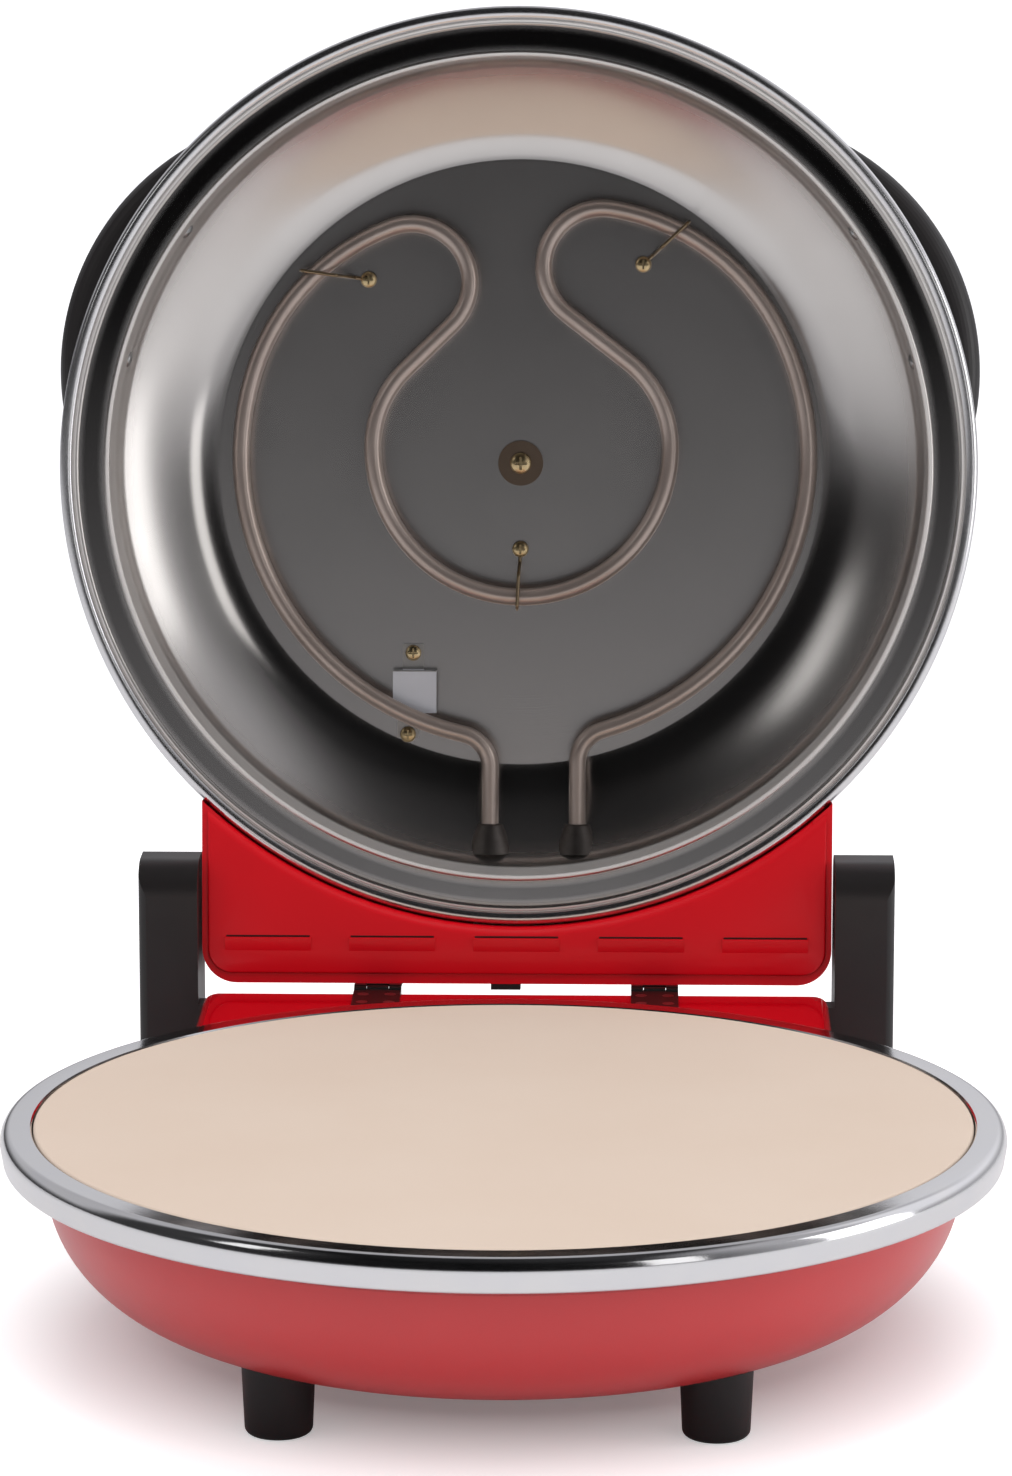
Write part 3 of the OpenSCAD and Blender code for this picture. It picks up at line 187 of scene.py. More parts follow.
def under_rim(inset):
    """The foot of a rim's band, which turns in under the bowl's or the dome's edge."""
    return [(BAND_R - inset, -10.2), (BAND_R - 1.6, -10.2, -90), (155.3, inset - 16.2)]


def base_rim_section(inset):
    """The rim's face from the stone outwards, or its back when that is set in by the sheet."""
    return [(159.3 + inset, -11), (159.3 + inset, -0.5 - inset), (159.8 + inset, -inset), (166.5, -inset),
            (166.5, -5, -90, (3.5 - inset) / (5 - inset), 1)] + under_rim(inset)


base_rim = turned_piece("base_ring", "base", BASE_RIM, base_rim_section(0), base_rim_section(RIM_T))


def polished(name, roughness):
    """Stainless steel polished along the ring, with a haze that is finer than a millimetre."""
    material, tree, shader = finish_named(name)
    shader.inputs["Metallic"].default_value = 1.0
    place = add(tree, "ShaderNodeTexCoord")
    smear = add(tree, "ShaderNodeTexNoise", {"Vector": place.outputs["Object"], "Scale": 60.0, "Detail": 4.0})
    rough = add(tree, "ShaderNodeMapRange", {"Value": smear.outputs["Fac"], "To Min": roughness - 0.04,
                                             "To Max": roughness + 0.04})
    tint = add(tree, "ShaderNodeMix", {0: smear.outputs["Fac"], 6: linear("D8D8DC"), 7: linear("E2E0DF")},
               data_type="RGBA")
    haze = add(tree, "ShaderNodeTexNoise", {"Vector": place.outputs["Object"], "Scale": 700.0, "Detail": 2.0})
    bump = add(tree, "ShaderNodeBump", {"Height": haze.outputs["Fac"], "Strength": 0.04, "Distance": 0.0002})
    tree.links.new(bump.outputs["Normal"], shader.inputs["Normal"])
    tree.links.new(rough.outputs["Result"], shader.inputs["Roughness"])
    tree.links.new(tint.outputs[2], shader.inputs["Base Color"])
    return material


bright_steel = polished("polished_stainless_rim", 0.12)
dress(base_rim, bright_steel, "bright_steel", "base_rim")

# Baking stone: a pressed and fired cordierite disc, which lies loose on the reflector's flange.
# Its face is open-grained, with pores of about half a millimetre.
stone = turned_piece("stone_disc", "base", BASE_RIM,
                     [(0, -11), (157, -11), (158.8, -9.2), (158.8, -1.2), (157.6, -1.2, 90), (0, 0)])
cordierite, tree, shader = finish_named("fired_cordierite")
place = add(tree, "ShaderNodeTexCoord")
cloud = add(tree, "ShaderNodeTexNoise", {"Vector": place.outputs["Object"], "Scale": 14.0, "Detail": 5.0})
tint = add(tree, "ShaderNodeMix", {0: cloud.outputs["Fac"], 6: linear("E6D3C2"), 7: linear("E0CAB7")},
           data_type="RGBA")
pores = add(tree, "ShaderNodeTexNoise", {"Vector": place.outputs["Object"], "Scale": 1500.0, "Detail": 2.0})
bump = add(tree, "ShaderNodeBump", {"Height": pores.outputs["Fac"], "Strength": 0.15, "Distance": 0.0003})
tree.links.new(tint.outputs[2], shader.inputs["Base Color"])
tree.links.new(bump.outputs["Normal"], shader.inputs["Normal"])
shader.inputs["Roughness"].default_value = 0.8
dress(stone, cordierite, "cordierite", "baking_stone")

# Lid rim: a ring of the same stainless steel as the base's, turned over and buffed a little duller.
# Its face is one rolled bead, which holds down the reflector. LID places all that swings on the hinge.
OPEN_ANGLE = 96.4
HINGE_Y = 194.5
HINGE_Z = 79.5
LID_Z = 84.6
RIM_R = 169.9
BEAD_R = 2.6
LID = (Matrix.Scale(0.001, 4) @ Matrix.Translation((0, HINGE_Y - MIDDLE_Y, HINGE_Z))
       @ Matrix.Rotation(math.radians(-OPEN_ANGLE), 4, "X")
       @ Matrix.Translation((0, -HINGE_Y, LID_Z - HINGE_Z)))
LID_FACE = LID @ Matrix.Scale(-1, 4, (0, 0, 1))
lid_rim = turned_piece("lid_ring", "lid", LID_FACE,
                       [(165.1, -1.39), (RIM_R - BEAD_R, -BEAD_R, -152.2)] + under_rim(0),
                       [(165.81, -1.76), (RIM_R - BEAD_R, -BEAD_R, -152.2)] + under_rim(RIM_T))
dress(lid_rim, polished("buffed_stainless_rim", 0.24), "bright_steel", "lid_rim")

# Dome: the lid's outer pressing, drawn from steel sheet 0.8 mm thick and lacquered like the bowl.
# Its edge is held in the rim, and its crown is fuller than an ellipse.
DOME_H = 63
FULLNESS = 2.3


def dome_section(inset):
    """The dome's outside from its edge to its crown, or its inside when that is set in by the sheet."""
    wide, tall = NECK_R - inset, DOME_H - inset
    angles = [math.radians(90 * i / 72) for i in range(73)]
    return [(EDGE_R, EDGE_Z - inset), (wide, NECK_TOP - inset)] + [
        (wide * max(0, math.cos(a)) ** (2 / FULLNESS), NECK_Z + tall * math.sin(a) ** (2 / FULLNESS))
        for a in angles]


dome = turned_piece("dome", "lid", LID, dome_section(0), dome_section(SHEET_T))
dress(dome, satin_lacquer, "red_paint", "lid_shell")

# Lid reflector: one spun pressing of bright steel. Its flange is polished like a mirror between two beads,
# its wall shows the lines of the spinning, and its flat plate has a satin face behind the heating tube.
# WALL holds the arcs from the lip to the plate, and a sharp step of 0.4 mm ends the plate.
LIP_R = 151.5
PLATE_R = 114.2
PLATE_Z = 49.5
WALL = [(140.92, 23.65, 48), (88.32, -34.78, 17), (108.72, 8.99, 17)]
reflector = turned_piece(
    "reflector_dish", "lid", LID @ Matrix.Translation((0, 0, 1.5)),
    [(167, 0), (164.7, 0), (163.7, 0, -180), (153.4, 0), (152.3, 0, -180), (LIP_R, 2.5), (LIP_R, 23.65)]
    + WALL + [(PLATE_R, PLATE_Z), (PLATE_R - 0.4, PLATE_Z), (0, PLATE_Z)],
    [(167, 0.6), (LIP_R + 2.5, 0.6), (LIP_R + 2.5, 2.5, -90), (LIP_R + 0.6, 23.65)] + WALL
    + [(0, PLATE_Z + 0.6)])
spun_steel, tree, shader = finish_named("spun_reflector_steel")
shader.inputs["Metallic"].default_value = 1.0
place = add(tree, "ShaderNodeTexCoord")
upright = add(tree, "ShaderNodeMapping", {"Vector": place.outputs["Object"],
              "Location": LID.inverted() @ Vector() * 0.001,
              "Rotation": (math.radians(OPEN_ANGLE), 0, 0)})
split = add(tree, "ShaderNodeSeparateXYZ", {"Vector": upright.outputs["Vector"]})
flat = add(tree, "ShaderNodeCombineXYZ", {"X": split.outputs["X"], "Y": split.outputs["Y"]})
radius = add(tree, "ShaderNodeVectorMath", {0: flat.outputs["Vector"]}, operation="LENGTH")
# How rough each zone is, by its distance from the axis: the satin plate, the wall, the bead at the lip, the
# mirror-like flange, and the bead round it.
SATIN = 0.22
# The beads' roughness, which also paints them pale as a highlight.
BEAD_PAINTED_PALE = 0.37
MIRROR = 0.05
ZONES = [(PLATE_R - 0.4, SATIN), (PLATE_R + 0.4, 0.12), (124, 0.14), (130, 0.22), (148, 0.26),
         (LIP_R - 0.7, BEAD_PAINTED_PALE), (LIP_R + 1.7, BEAD_PAINTED_PALE), (LIP_R + 2.1, MIRROR), (162.2, MIRROR),
         (162.6, BEAD_PAINTED_PALE)]
rough = add(tree, "ShaderNodeValToRGB", {"Fac": radius.outputs["Value"]})
stops = rough.color_ramp.elements
for i, (spot, level) in enumerate(ZONES):
    stop = stops[i] if i < 2 else stops.new(spot * 0.001)
    stop.position = spot * 0.001
    stop.color = (level, level, level, 1)
smear = add(tree, "ShaderNodeTexNoise", {"Vector": place.outputs["Object"], "Scale": 30.0, "Detail": 3.0})
worn = add(tree, "ShaderNodeMapRange", {"Value": smear.outputs["Fac"], "To Min": -0.01, "To Max": 0.03})
level = add(tree, "ShaderNodeMath", {0: rough.outputs["Color"], 1: worn.outputs["Result"]}, operation="ADD")
tree.links.new(level.outputs["Value"], shader.inputs["Roughness"])
# The beads are rough, and at this roughness the steel turns to a pale non-metal: a painted highlight, so they
# look white from all sides.
bead = add(tree, "ShaderNodeMapRange", {"Value": rough.outputs["Color"], "From Min": 0.335, "From Max": 0.36,
                                        "To Min": 1.0, "To Max": 0.1})
tree.links.new(bead.outputs["Result"], shader.inputs["Metallic"])
# The spinning's lines are about half a millimetre apart, all round.
lines = add(tree, "ShaderNodeTexNoise", {"W": radius.outputs["Value"], "Scale": 1800.0, "Detail": 2.0},
            noise_dimensions="1D")
deep = add(tree, "ShaderNodeMapRange", {"Value": rough.outputs["Color"], "From Min": 0.1, "From Max": 0.3,
                                        "To Min": 0.0, "To Max": 0.03})
bump = add(tree, "ShaderNodeBump", {"Height": lines.outputs["Fac"], "Strength": deep.outputs["Result"],
                                    "Distance": 0.0002})
tree.links.new(bump.outputs["Normal"], shader.inputs["Normal"])
tint = add(tree, "ShaderNodeMix", {0: smear.outputs["Fac"], 6: linear("CFCBC8"), 7: linear("C6C2BF")},
           data_type="RGBA")
tree.links.new(tint.outputs[2], shader.inputs["Base Color"])
dress(reflector, spun_steel, "reflector_steel", "lid_reflector")

# Leg pads: the half cones that the reflector's wall is raised to, where the heating tube's legs leave it.
# They are pressed in the same steel as the wall, which the press left duller and the heat has browned.
TUBE_Z = 40
LEG_XS = (-11, 22)
PAD_Y = 141.3
PAD_L = 11
bm = bmesh.new()
for x in LEG_XS:
    along_leg = Matrix.Translation((x, PAD_Y, TUBE_Z)) @ Matrix.Rotation(math.radians(-90), 4, "X")
    bmesh.ops.create_cone(bm, cap_ends=True, segments=64, radius1=4.6, radius2=9.2, depth=PAD_L,
                          matrix=along_leg)
bmesh.ops.bisect_plane(bm, geom=bm.verts[:] + bm.edges[:] + bm.faces[:], plane_co=(0, 0, TUBE_Z),
                       plane_no=(0, 0, 1), clear_outer=True)
bmesh.ops.holes_fill(bm, edges=[e for e in bm.edges if e.is_boundary], sides=0)
tip_edges = [e for e in bm.edges
             if e.calc_length() < 2 and all(v.co.y < PAD_Y - PAD_L / 2 + 1 for v in e.verts)]
bmesh.ops.bevel(bm, geom=tip_edges, offset=0.8, affect="EDGES", segments=3, profile=0.5, material=-1)
pads = piece_of(bm, "reflector_leg_pads", "lid", LID, 50)
pressed_steel, tree, shader = finish_named("pressed_pad_steel")
shader.inputs["Metallic"].default_value = 1.0
place = add(tree, "ShaderNodeTexCoord")
stretch = add(tree, "ShaderNodeTexNoise", {"Vector": place.outputs["Object"], "Scale": 250.0, "Detail": 3.0})
tint = add(tree, "ShaderNodeMix", {0: stretch.outputs["Fac"], 6: linear("8A8480"), 7: linear("6E6864")},
           data_type="RGBA")
bump = add(tree, "ShaderNodeBump", {"Height": stretch.outputs["Fac"], "Strength": 0.2, "Distance": 0.0003})
tree.links.new(tint.outputs[2], shader.inputs["Base Color"])
tree.links.new(bump.outputs["Normal"], shader.inputs["Normal"])
shader.inputs["Roughness"].default_value = 0.5
dress(pads, pressed_steel, "reflector_steel")

# Lid heating element: one tube of oxidised nickel steel, bent in a bender from one leg to the other and held
# by three wire clips. A round outer loop leads by wide arcs into two hairpins, which the inner loop joins.
TUBE_D = 6.5
OUTER_R = 106.8
LEAD_R = 85
HAIRPIN_R = 22
SIDE_R = 41
INNER_R = 56
LEG_BEND_R = 13
OUTER = (1.7, -2.4)
INNER = (0.5, -6)
LEFT_PIN = (-41, -68)
RIGHT_PIN = (30.6, -74)


def leg_bend(x):
    """Centre of a leg's bend, which touches the outer loop from outside."""
    return x, OUTER[1] + math.sqrt((OUTER_R + LEG_BEND_R) ** 2 - (x - OUTER[0]) ** 2)


def lead(pin, side):
    """Centre of the wide arc that lies in the outer loop and holds a hairpin, and touches both."""
    x, y = pin[0] - OUTER[0], pin[1] - OUTER[1]
    near, far, away = OUTER_R - LEAD_R, LEAD_R - HAIRPIN_R, math.hypot(x, y)
    turn = math.atan2(y, x) + side * math.acos((near**2 + away**2 - far**2) / (2 * near * away))
    return OUTER[0] + near * math.cos(turn), OUTER[1] + near * math.sin(turn)


# The arcs in order, from one leg to the other: centre, radius, and 1 for an anticlockwise turn or -1 for a
# clockwise one.
ARCS = [(leg_bend(LEG_XS[0] - LEG_BEND_R), LEG_BEND_R, -1), (OUTER, OUTER_R, 1),
        (lead(LEFT_PIN, -1), LEAD_R, 1), (LEFT_PIN, HAIRPIN_R, 1),
        ((INNER[0] - INNER_R + SIDE_R, INNER[1]), SIDE_R, -1), (INNER, INNER_R, -1),
        ((INNER[0] + INNER_R - SIDE_R, INNER[1]), SIDE_R, -1),
        (RIGHT_PIN, HAIRPIN_R, 1), (lead(RIGHT_PIN, 1), LEAD_R, 1),
        (OUTER, OUTER_R, 1), (leg_bend(LEG_XS[1] + LEG_BEND_R), LEG_BEND_R, -1)]


def bends_along(arcs):
    """Each arc's radius, its turn, and the straight that touches it and the next; the legs run along y."""
    headings, runs = [-90], []
    for (here, radius, way), (there, wide, other) in zip(arcs, arcs[1:]):
        x, y = there[0] - here[0], there[1] - here[1]
        across = way * radius - other * wide
        straight = math.sqrt(max(0, x * x + y * y - across**2))
        headings.append(math.degrees(math.atan2(y, x) + math.atan2(across, straight)))
        runs.append(straight if straight > 0.01 else 0)
    return [(radius, way * (way * (end - start) % 360), run)
            for (_, radius, way), start, end, run in zip(arcs, headings, headings[1:] + [90], runs + [0])]


def bent(bm, start, heading, first_run, bends, last_run, thickness, sides=20):
    """Pushes a round section along a line in the x-y plane and round each bend, as a bender does."""
    spot, way = Vector(start), Vector((math.cos(math.radians(heading)), math.sin(math.radians(heading)), 0))
    stance = Matrix.Translation(spot) @ way.to_track_quat("Z", "X").to_matrix().to_4x4()
    section = bmesh.ops.create_circle(bm, segments=sides, radius=thickness / 2, cap_ends=True, matrix=stance)
    face = section["verts"][0].link_faces[0]

    def push(length):
        nonlocal spot, face
        if length > 0:
            grown = bmesh.ops.extrude_discrete_faces(bm, faces=[face])
            face = grown["faces"][0]
            bmesh.ops.translate(bm, verts=face.verts[:], vec=way * length)
            spot = spot + way * length

    push(first_run)
    for radius, turn, run in bends:
        side = Vector((-way.y, way.x, 0)) * (1 if turn > 0 else -1)
        centre = spot + side * radius
        steps = max(3, round(abs(turn) / (4 if radius > 30 else 7)))
        for _ in range(steps):
            spin = Matrix.Rotation(math.radians(turn / steps), 4, "Z")
            grown = bmesh.ops.extrude_discrete_faces(bm, faces=[face])
            face = grown["faces"][0]
            bmesh.ops.rotate(bm, verts=face.verts[:], cent=centre, matrix=spin.to_3x3())
            spot, way = centre + spin @ (spot - centre), spin @ way
        push(run)
    push(last_run)


LEG_Y = 152.2
bm = bmesh.new()
bent(bm, (LEG_XS[0], LEG_Y, TUBE_Z), -90, LEG_Y - ARCS[0][0][1], bends_along(ARCS), LEG_Y - ARCS[-1][0][1],
     TUBE_D)
tube = piece_of(bm, "lid_heating_tube", "lid", LID)
oxide, tree, shader = finish_named("oxidised_element_steel")
shader.inputs["Metallic"].default_value = 0.75
place = add(tree, "ShaderNodeTexCoord")
cloud = add(tree, "ShaderNodeTexNoise", {"Vector": place.outputs["Object"], "Scale": 40.0, "Detail": 4.0})
tint = add(tree, "ShaderNodeMix", {0: cloud.outputs["Fac"], 6: linear("BCAEA6"), 7: linear("968880")},
           data_type="RGBA")
tree.links.new(tint.outputs[2], shader.inputs["Base Color"])
shader.inputs["Roughness"].default_value = 0.3
dress(tube, oxide, "element_steel", "lid_element")

# Louvred cover: a pressed and lacquered sheet over the thermostat's housing. Its upper edge is drawn back
# behind the lid's rim, and each of its five louvres is lanced along its top and bulges below the slit.
# The gloss lacquer is its own; the base housing below it has the same red with a mirror-like coat.
mirror_lacquer, shader = lacquer("mirror_red_lacquer", "D60418", "C60212", 0.12)
shader.inputs["Coat Weight"].default_value = 0.8
gloss_lacquer, shader = lacquer("gloss_red_lacquer", "D60418", "C60212", 0.34)
shader.inputs["Coat Weight"].default_value = 0.15
shader.inputs["Coat Roughness"].default_value = 0.12
shader.inputs["Specular IOR Level"].default_value = 0.25
COVER_HALF = 114.8
COVER_TOP = 125.9
COVER_END = 188
CORNER_R = 9
COVER_T = 4.6
COVER_BACK = 2.6
ARC_R = 170.38
LOUVRE_XS = [(i - 2) * 46.2 for i in range(5)]
LOUVRE_Y = 174.4
LANCE = (32, 1.6, 5.3)
bm = bmesh.new()
last = draw(bm, (-COVER_HALF, COVER_TOP),
            [(0, 0, -84.72), (COVER_HALF, COVER_END - CORNER_R),
             (COVER_HALF - CORNER_R, COVER_END - CORNER_R, 90),
             (CORNER_R - COVER_HALF, COVER_END), (CORNER_R - COVER_HALF, COVER_END - CORNER_R, 90)])
bm.verts.ensure_lookup_table()
bm.edges.new((last, bm.verts[0]))
sheet = bmesh.ops.contextual_create(bm, geom=bm.edges[:])["faces"]
raised = bmesh.ops.extrude_face_region(bm, geom=sheet)["geom"]
raised = [v for v in raised if isinstance(v, bmesh.types.BMVert)]
bmesh.ops.translate(bm, verts=raised, vec=(0, COVER_T, 0))
arc_edge = [e for e in bm.edges if all(v in raised and abs(v.co.xz.length - ARC_R) < 0.05 for v in e.verts)]
bmesh.ops.bevel(bm, geom=arc_edge, offset=4, affect="EDGES", segments=6, profile=0.5, material=-1)
front_edge = [e for e in bm.edges if all(v.co.y > COVER_T - 0.01 for v in e.verts) and len(e.link_faces) == 2
              and any(f.normal.y < 0.1 for f in e.link_faces)]
bmesh.ops.bevel(bm, geom=front_edge, offset=0.8, affect="EDGES", segments=3, profile=0.5, material=-1)
for x in LOUVRE_XS:
    lance = bmesh.ops.create_cube(bm, size=1)["verts"]
    bmesh.ops.scale(bm, verts=lance, vec=LANCE)
    bmesh.ops.translate(bm, verts=lance, vec=(x, COVER_T + LANCE[1] / 4, LOUVRE_Y + LANCE[2] / 2))
    crest = [v for v in lance if v.co.y > COVER_T + 0.2]
    bmesh.ops.translate(bm, verts=[v for v in crest if v.co.z > LOUVRE_Y + 3], vec=(0, -1.25, 0))
    bmesh.ops.bevel(bm, geom=[e for e in {e for v in lance for e in v.link_edges}
                              if all(v.co.y > COVER_T + 0.2 for v in e.verts)],
                    offset=0.35, affect="EDGES", segments=2, profile=0.5, material=-1)
# The drawn outline lies in x and z: this turns it into the lid's own x and y.
cover = piece_of(bm, "louvred_cover", "lid",
                 LID @ Matrix.Rotation(math.radians(-90), 4, "X") @ Matrix.Translation((0, -COVER_BACK, 0)))
dress(cover, gloss_lacquer, "red_paint", "lid_housing_cover")

# Slits: the dark gap that the lancing leaves over each louvre, where the air of the housing comes out. Each
# is a thin strip in the cover's face, painted the dark red of lacquer that no light reaches: painted shade in
# place of the gap.
SLIT = (31, 0.5, 0.7)
bm = bmesh.new()
for x in LOUVRE_XS:
    slit = bmesh.ops.create_cube(bm, size=1)["verts"]
    bmesh.ops.scale(bm, verts=slit, vec=SLIT)
    bmesh.ops.translate(bm, verts=slit, vec=(x, COVER_T - COVER_BACK - 0.15, LOUVRE_Y - SLIT[2] / 2))
slits = piece_of(bm, "louvre_slits", "lid", LID @ Matrix.Rotation(math.radians(-90), 4, "X"))

# Pieces that keep their solids: stands, feet, handles, hinges, housings, screws, clips, knob and what is
# inside. Each gets its finish by its slot, or by its own name where it differs from the others in its slot.
def worked(name, shade, deep, roughness, metallic=0.0, grain=900.0, depth=0.00015):
    """A finish that drifts between two shades, with a fine grain; 900 is a grain of about 1 mm."""
    material, tree, shader = finish_named(name)
    place = add(tree, "ShaderNodeTexCoord")
    cloud = add(tree, "ShaderNodeTexNoise", {"Vector": place.outputs["Object"], "Scale": 45.0, "Detail": 4.0})
    tint = add(tree, "ShaderNodeMix", {0: cloud.outputs["Fac"], 6: linear(shade), 7: linear(deep)},
               data_type="RGBA")
    rough = add(tree, "ShaderNodeMapRange", {"Value": cloud.outputs["Fac"], "To Min": roughness - 0.06,
                                             "To Max": roughness + 0.06})
    grit = add(tree, "ShaderNodeTexNoise", {"Vector": place.outputs["Object"], "Scale": grain, "Detail": 2.0})
    bump = add(tree, "ShaderNodeBump", {"Height": grit.outputs["Fac"], "Strength": 0.2, "Distance": depth})
    tree.links.new(tint.outputs[2], shader.inputs["Base Color"])
    tree.links.new(rough.outputs["Result"], shader.inputs["Roughness"])
    tree.links.new(bump.outputs["Normal"], shader.inputs["Normal"])
    shader.inputs["Metallic"].default_value = metallic
    return material


# Plastic and rubber are moulded and nearly black. Steel parts are blackened, plated or browned by heat, and
# the screws inside the lid are plated a brassy yellow.
moulded = worked("moulded_black_plastic", "231F1F", "1B1818", 0.42)
hinge_black = worked("black_hinge_steel", "171515", "100E0E", 0.35)
brass = worked("yellow_zinc_steel", "D8C49C", "B49C70", 0.28, 1.0, 2500.0)
wire = worked("spring_wire_steel", "9C8A70", "7E6E58", 0.3, 1.0, 2500.0)
heated = worked("heat_browned_steel", "8A7868", "6A5C50", 0.35, 1.0, 2500.0)
foot_black = worked("soft_black_foot", "0A0707", "070505", 0.5)
zinc = worked("zinc_steel", "B8B8B8", "9C9DA0", 0.3, 1.0, 2500.0)
ceramic = worked("glazed_ceramic_white", "E8E2D6", "D8D0C2", 0.35)
rubber = worked("black_rubber", "181818", "202020", 0.7)
# The strap is pale and partly non-metal, a painted highlight that shows from any side.
strap = worked("strap_steel_painted_highlight", "D8D8DC", "C4C4CA", 0.36, 0.6, 2500.0)
copper = worked("copper_bulb", "B87048", "8A5236", 0.3, 1.0, 2500.0)
amber = worked("amber_lens", "D87A18", "B86410", 0.15)
white = worked("white_mark", "E8E8E8", "DCDCDC", 0.4)
dial = worked("brushed_dial_aluminium", "C0C2C4", "ACAEB0", 0.35, 1.0, 2500.0)
# The slits' dark red is painted shade.
dress(slits, worked("slit_painted_shade", "3A0206", "280104", 0.6), "red_paint")

# The strap's two ends lie flat on the plate and have its tone; only the raised middle, 16 mm long, is bright:
# it is painted pale and partly non-metal, a painted highlight.
tree = strap.node_tree
shader = tree.nodes["Principled BSDF"]
place = add(tree, "ShaderNodeTexCoord")
split = add(tree, "ShaderNodeSeparateXYZ", {"Vector": place.outputs["Object"]})
strap_z = (LID @ Vector((-39.8, 86.5, 48))).z
along = add(tree, "ShaderNodeMath", {0: split.outputs["Z"], 1: strap_z}, operation="SUBTRACT")
away = add(tree, "ShaderNodeMath", {0: along.outputs["Value"]}, operation="ABSOLUTE")
end = add(tree, "ShaderNodeMapRange", {"Value": away.outputs["Value"], "From Min": 0.0078,
                                       "From Max": 0.0082})
old_tint, old_rough = (shader.inputs[k].links[0].from_socket for k in ("Base Color", "Roughness"))
tint = add(tree, "ShaderNodeMix", {0: end.outputs["Result"], 6: old_tint, 7: linear("B8B4B0")},
           data_type="RGBA")
level = add(tree, "ShaderNodeMix", {"Factor": end.outputs["Result"], "A": old_rough, "B": 0.3})
metal = add(tree, "ShaderNodeMapRange", {"Value": end.outputs["Result"], "To Min": 0.6, "To Max": 1.0})
tree.links.new(tint.outputs[2], shader.inputs["Base Color"])
tree.links.new(level.outputs["Result"], shader.inputs["Roughness"])
tree.links.new(metal.outputs["Result"], shader.inputs["Metallic"])

FINISHES = {
    "red_paint": gloss_lacquer, "bright_steel": bright_steel, "reflector_steel": zinc, "element_steel": oxide,
    "ceramic": ceramic, "spring_wire": wire, "inner_screws": brass, "post_steel": zinc, "floor_steel": zinc,
    "plain_screws": zinc, "black_plastic": moulded, "black_hinge": hinge_black, "pin_steel": zinc,
    "gland_plastic": moulded, "terminal_ceramic": ceramic, "black_rubber": rubber, "strap_steel": strap,
    "copper": copper, "thermostat_ceramic": ceramic, "dial_aluminium": dial, "amber_lens": amber,
    "brass_shaft": brass, "white_mark": white, "cordierite": cordierite}
OWN_FINISHES = {"lid_centre_washer": heated, "base_housing": mirror_lacquer,
                "front_foot_left": foot_black, "front_foot_right": foot_black}
for part in frame["record"]["subparts"]:
    solid = nodes[part["node"]]
    solid.data.materials.clear()
    solid.data.materials.append(OWN_FINISHES.get(part["node"], FINISHES[part["material_slot"]]))

# Room: what polished metal shows of the studio. In front it is dark, save low down where the table begins,
# the side walls are pale, the ceiling is dim and the back wall is lit. Other surfaces see an even grey light.
world = bpy.data.worlds.new("studio")
bpy.context.scene.world = world
world.use_nodes = True
tree = world.node_tree
ground = tree.nodes["Background"]
ray = add(tree, "ShaderNodeLightPath")
place = add(tree, "ShaderNodeTexCoord")
split = add(tree, "ShaderNodeSeparateXYZ", {"Vector": place.outputs["Generated"]})
sideways = add(tree, "ShaderNodeMath", {0: split.outputs["X"]}, operation="ABSOLUTE")
door = add(tree, "ShaderNodeMapRange", {"Value": split.outputs["Z"], "From Min": 0.015, "From Max": 0.1,
                                        "To Min": 0.16, "To Max": 0.004})
walls = add(tree, "ShaderNodeMapRange", {"Value": split.outputs["X"], "From Min": -0.6, "From Max": 0.6,
                                         "To Min": 0.04, "To Max": 0.5}, interpolation_type="SMOOTHSTEP")
front = add(tree, "ShaderNodeMapRange", {"Value": split.outputs["Y"], "From Min": -0.88, "From Max": -0.2,
                                         "To Min": door.outputs["Result"], "To Max": walls.outputs["Result"]},
            interpolation_type="SMOOTHSTEP")
above = add(tree, "ShaderNodeMapRange", {"Value": split.outputs["Z"], "From Min": 0.3, "From Max": 0.7,
                                         "To Min": 1.0, "To Max": 0.08}, interpolation_type="SMOOTHSTEP")
side = add(tree, "ShaderNodeMapRange", {"Value": sideways.outputs["Value"], "From Min": 0.35,
                                        "From Max": 0.65}, interpolation_type="SMOOTHSTEP")
dim = add(tree, "ShaderNodeMath", {0: above.outputs["Result"], 1: side.outputs["Result"]},
          operation="MAXIMUM")
back = add(tree, "ShaderNodeMapRange", {"Value": split.outputs["Y"], "From Min": 0.1, "From Max": 0.35,
                                        "To Min": 0.0, "To Max": 0.5}, interpolation_type="SMOOTHSTEP")
high = add(tree, "ShaderNodeMapRange", {"Value": split.outputs["Z"], "From Min": 0.02, "From Max": 0.3},
           interpolation_type="SMOOTHSTEP")
lit = add(tree, "ShaderNodeMath", {0: back.outputs["Result"], 1: high.outputs["Result"]},
          operation="MULTIPLY")
room = add(tree, "ShaderNodeMath", {0: front.outputs["Result"], 1: dim.outputs["Value"],
                                    2: lit.outputs["Value"]}, operation="MULTIPLY_ADD")
glossy = add(tree, "ShaderNodeMix", {"Factor": ray.outputs["Is Glossy Ray"], "A": 0.64,
                                     "B": room.outputs["Value"]})
seen = add(tree, "ShaderNodeMix", {"Factor": ray.outputs["Is Camera Ray"], "A": glossy.outputs["Result"],
                                   "B": 1.0})
tree.links.new(seen.outputs["Result"], ground.inputs["Strength"])
ground.inputs["Color"].default_value = (0.96, 0.96, 1, 1)
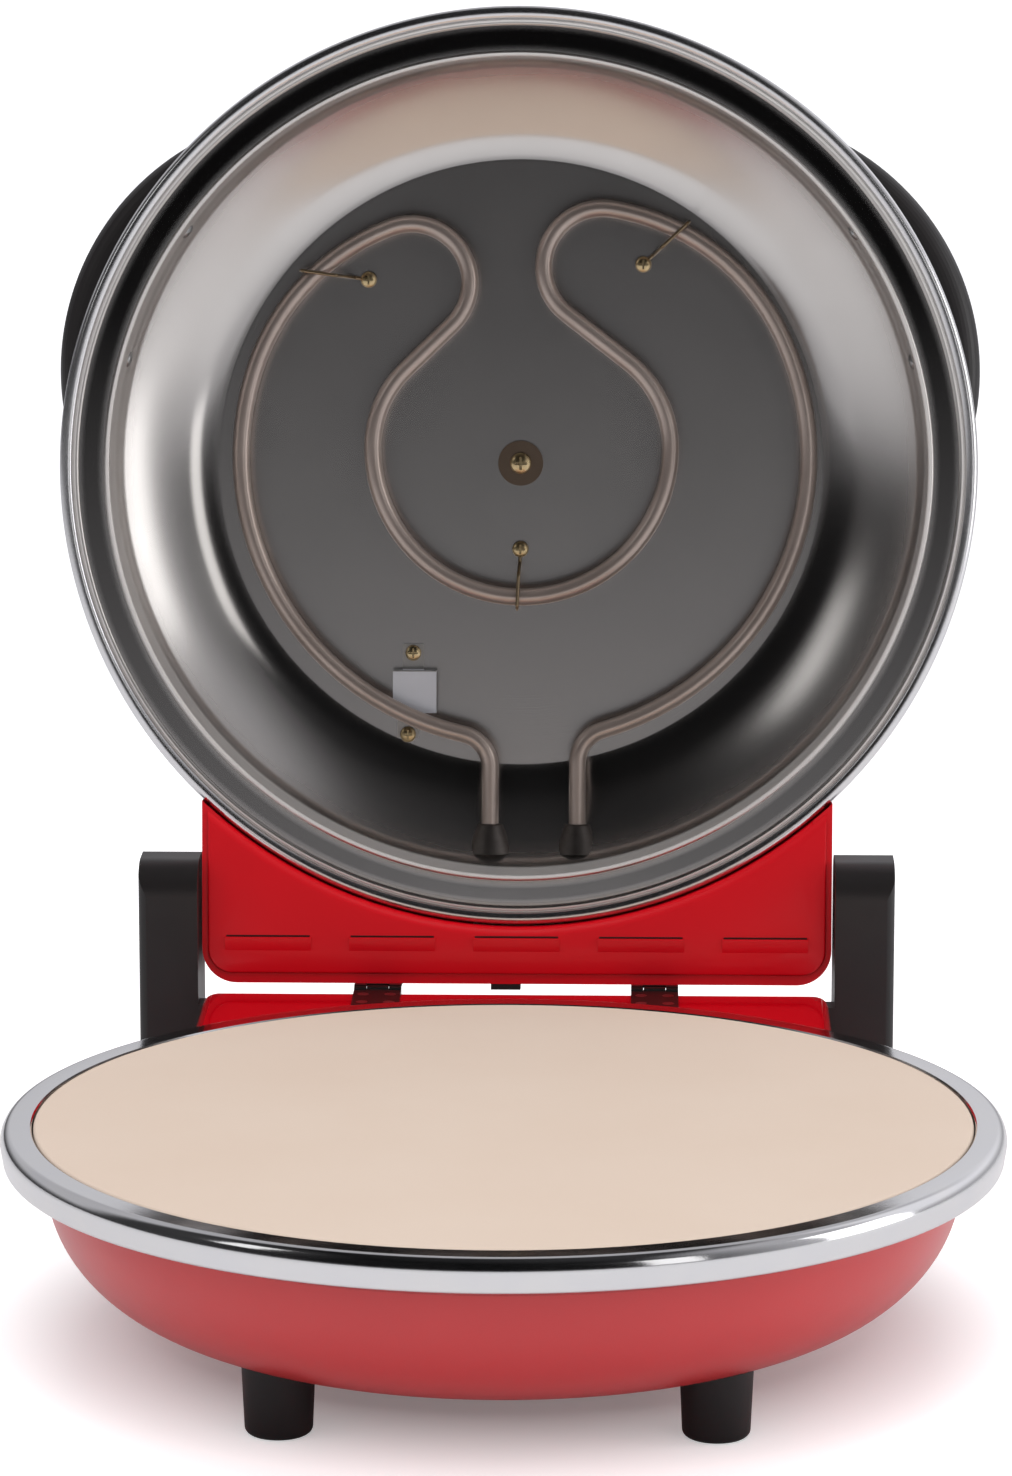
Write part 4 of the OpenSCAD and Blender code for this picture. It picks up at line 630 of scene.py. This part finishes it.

# Floor: a sheet of white paper, 28 m square, under the feet. To the camera alone it glows, faintly within
# 0.13 m of the middle and much more beyond 0.2 m: a painted shadow round the object that deepens its own
# shadow, and a floor that turns white towards the picture's edges.
bm = bmesh.new()
bmesh.ops.create_grid(bm, x_segments=2, y_segments=2, size=14)
mesh = bpy.data.meshes.new("studio_floor")
bm.to_mesh(mesh)
bm.free()
floor = bpy.data.objects.new("studio_floor", mesh)
bpy.context.scene.collection.objects.link(floor)
paper, tree, shader = finish_named("white_paper")
shader.inputs["Base Color"].default_value = (0.9, 0.9, 0.9, 1)
shader.inputs["Roughness"].default_value = 0.9
ray = add(tree, "ShaderNodeLightPath")
place = add(tree, "ShaderNodeTexCoord")
reach = add(tree, "ShaderNodeVectorMath", {0: place.outputs["Object"]}, operation="LENGTH")
# Less glow near the middle is a painted shadow round the object.
clear = add(tree, "ShaderNodeMapRange", {"Value": reach.outputs["Value"], "From Min": 0.13, "From Max": 0.2,
                                         "To Min": 0.14, "To Max": 0.62})
share = add(tree, "ShaderNodeMath", {0: ray.outputs["Is Camera Ray"], 1: clear.outputs["Result"]},
            operation="MULTIPLY")
glow = add(tree, "ShaderNodeEmission", {"Color": (1, 1, 1, 1), "Strength": share.outputs["Value"]})
blend = add(tree, "ShaderNodeAddShader", {0: shader.outputs["BSDF"], 1: glow.outputs["Emission"]})
tree.links.new(blend.outputs["Shader"], tree.nodes["Material Output"].inputs["Surface"])
floor.data.materials.append(paper)


# Lamps: three softboxes that stand round the object and aim at its middle, and a larger one above it,
# which lights it evenly and which the metal doesn't show.
def softbox(name, spot, aim, width, height, power):
    """A rectangular lamp at a spot, turned to what it aims at; sizes in metres, power in watts."""
    lamp = bpy.data.lights.new(name, "AREA")
    lamp.shape = "RECTANGLE"
    lamp.size, lamp.size_y, lamp.energy = width, height, power
    box = bpy.data.objects.new(name, lamp)
    box.location = spot
    box.rotation_euler = (Vector(aim) - Vector(spot)).to_track_quat("-Z", "Y").to_euler()
    bpy.context.scene.collection.objects.link(box)
    return box


LID_MIDDLE = (0, 0.15, 0.27)
softbox("left_softbox", (-1.44, -0.85, 1.2), LID_MIDDLE, 0.35, 0.7, 0.9)
softbox("right_softbox", (1.6, -0.15, 0.45), LID_MIDDLE, 0.75, 1.1, 5)
softbox("front_right_softbox", (1.23, -1.63, 0.65), LID_MIDDLE, 0.44, 1.0, 1.7)
softbox("top_softbox", (0, -0.3, 1.7), (0, 0, 0.1), 1.4, 1.0, 12).visible_glossy = False

# Camera: where the photograph was taken, about 2 m in front of the stone and half a metre above it.
# Its place, tilt and lens were fitted to the outlines of both rims and the stone.
lens = bpy.data.cameras.new("photo_camera")
lens.lens = 142.16
lens.sensor_width = 36
camera = bpy.data.objects.new("photo_camera", lens)
camera.location = (0.0457, -1.9758, 0.5962)
camera.rotation_euler = (math.radians(78.705), 0, math.radians(1.347))
bpy.context.scene.collection.objects.link(camera)
bpy.context.scene.camera = camera
bpy.context.scene.view_settings.view_transform = "Standard"
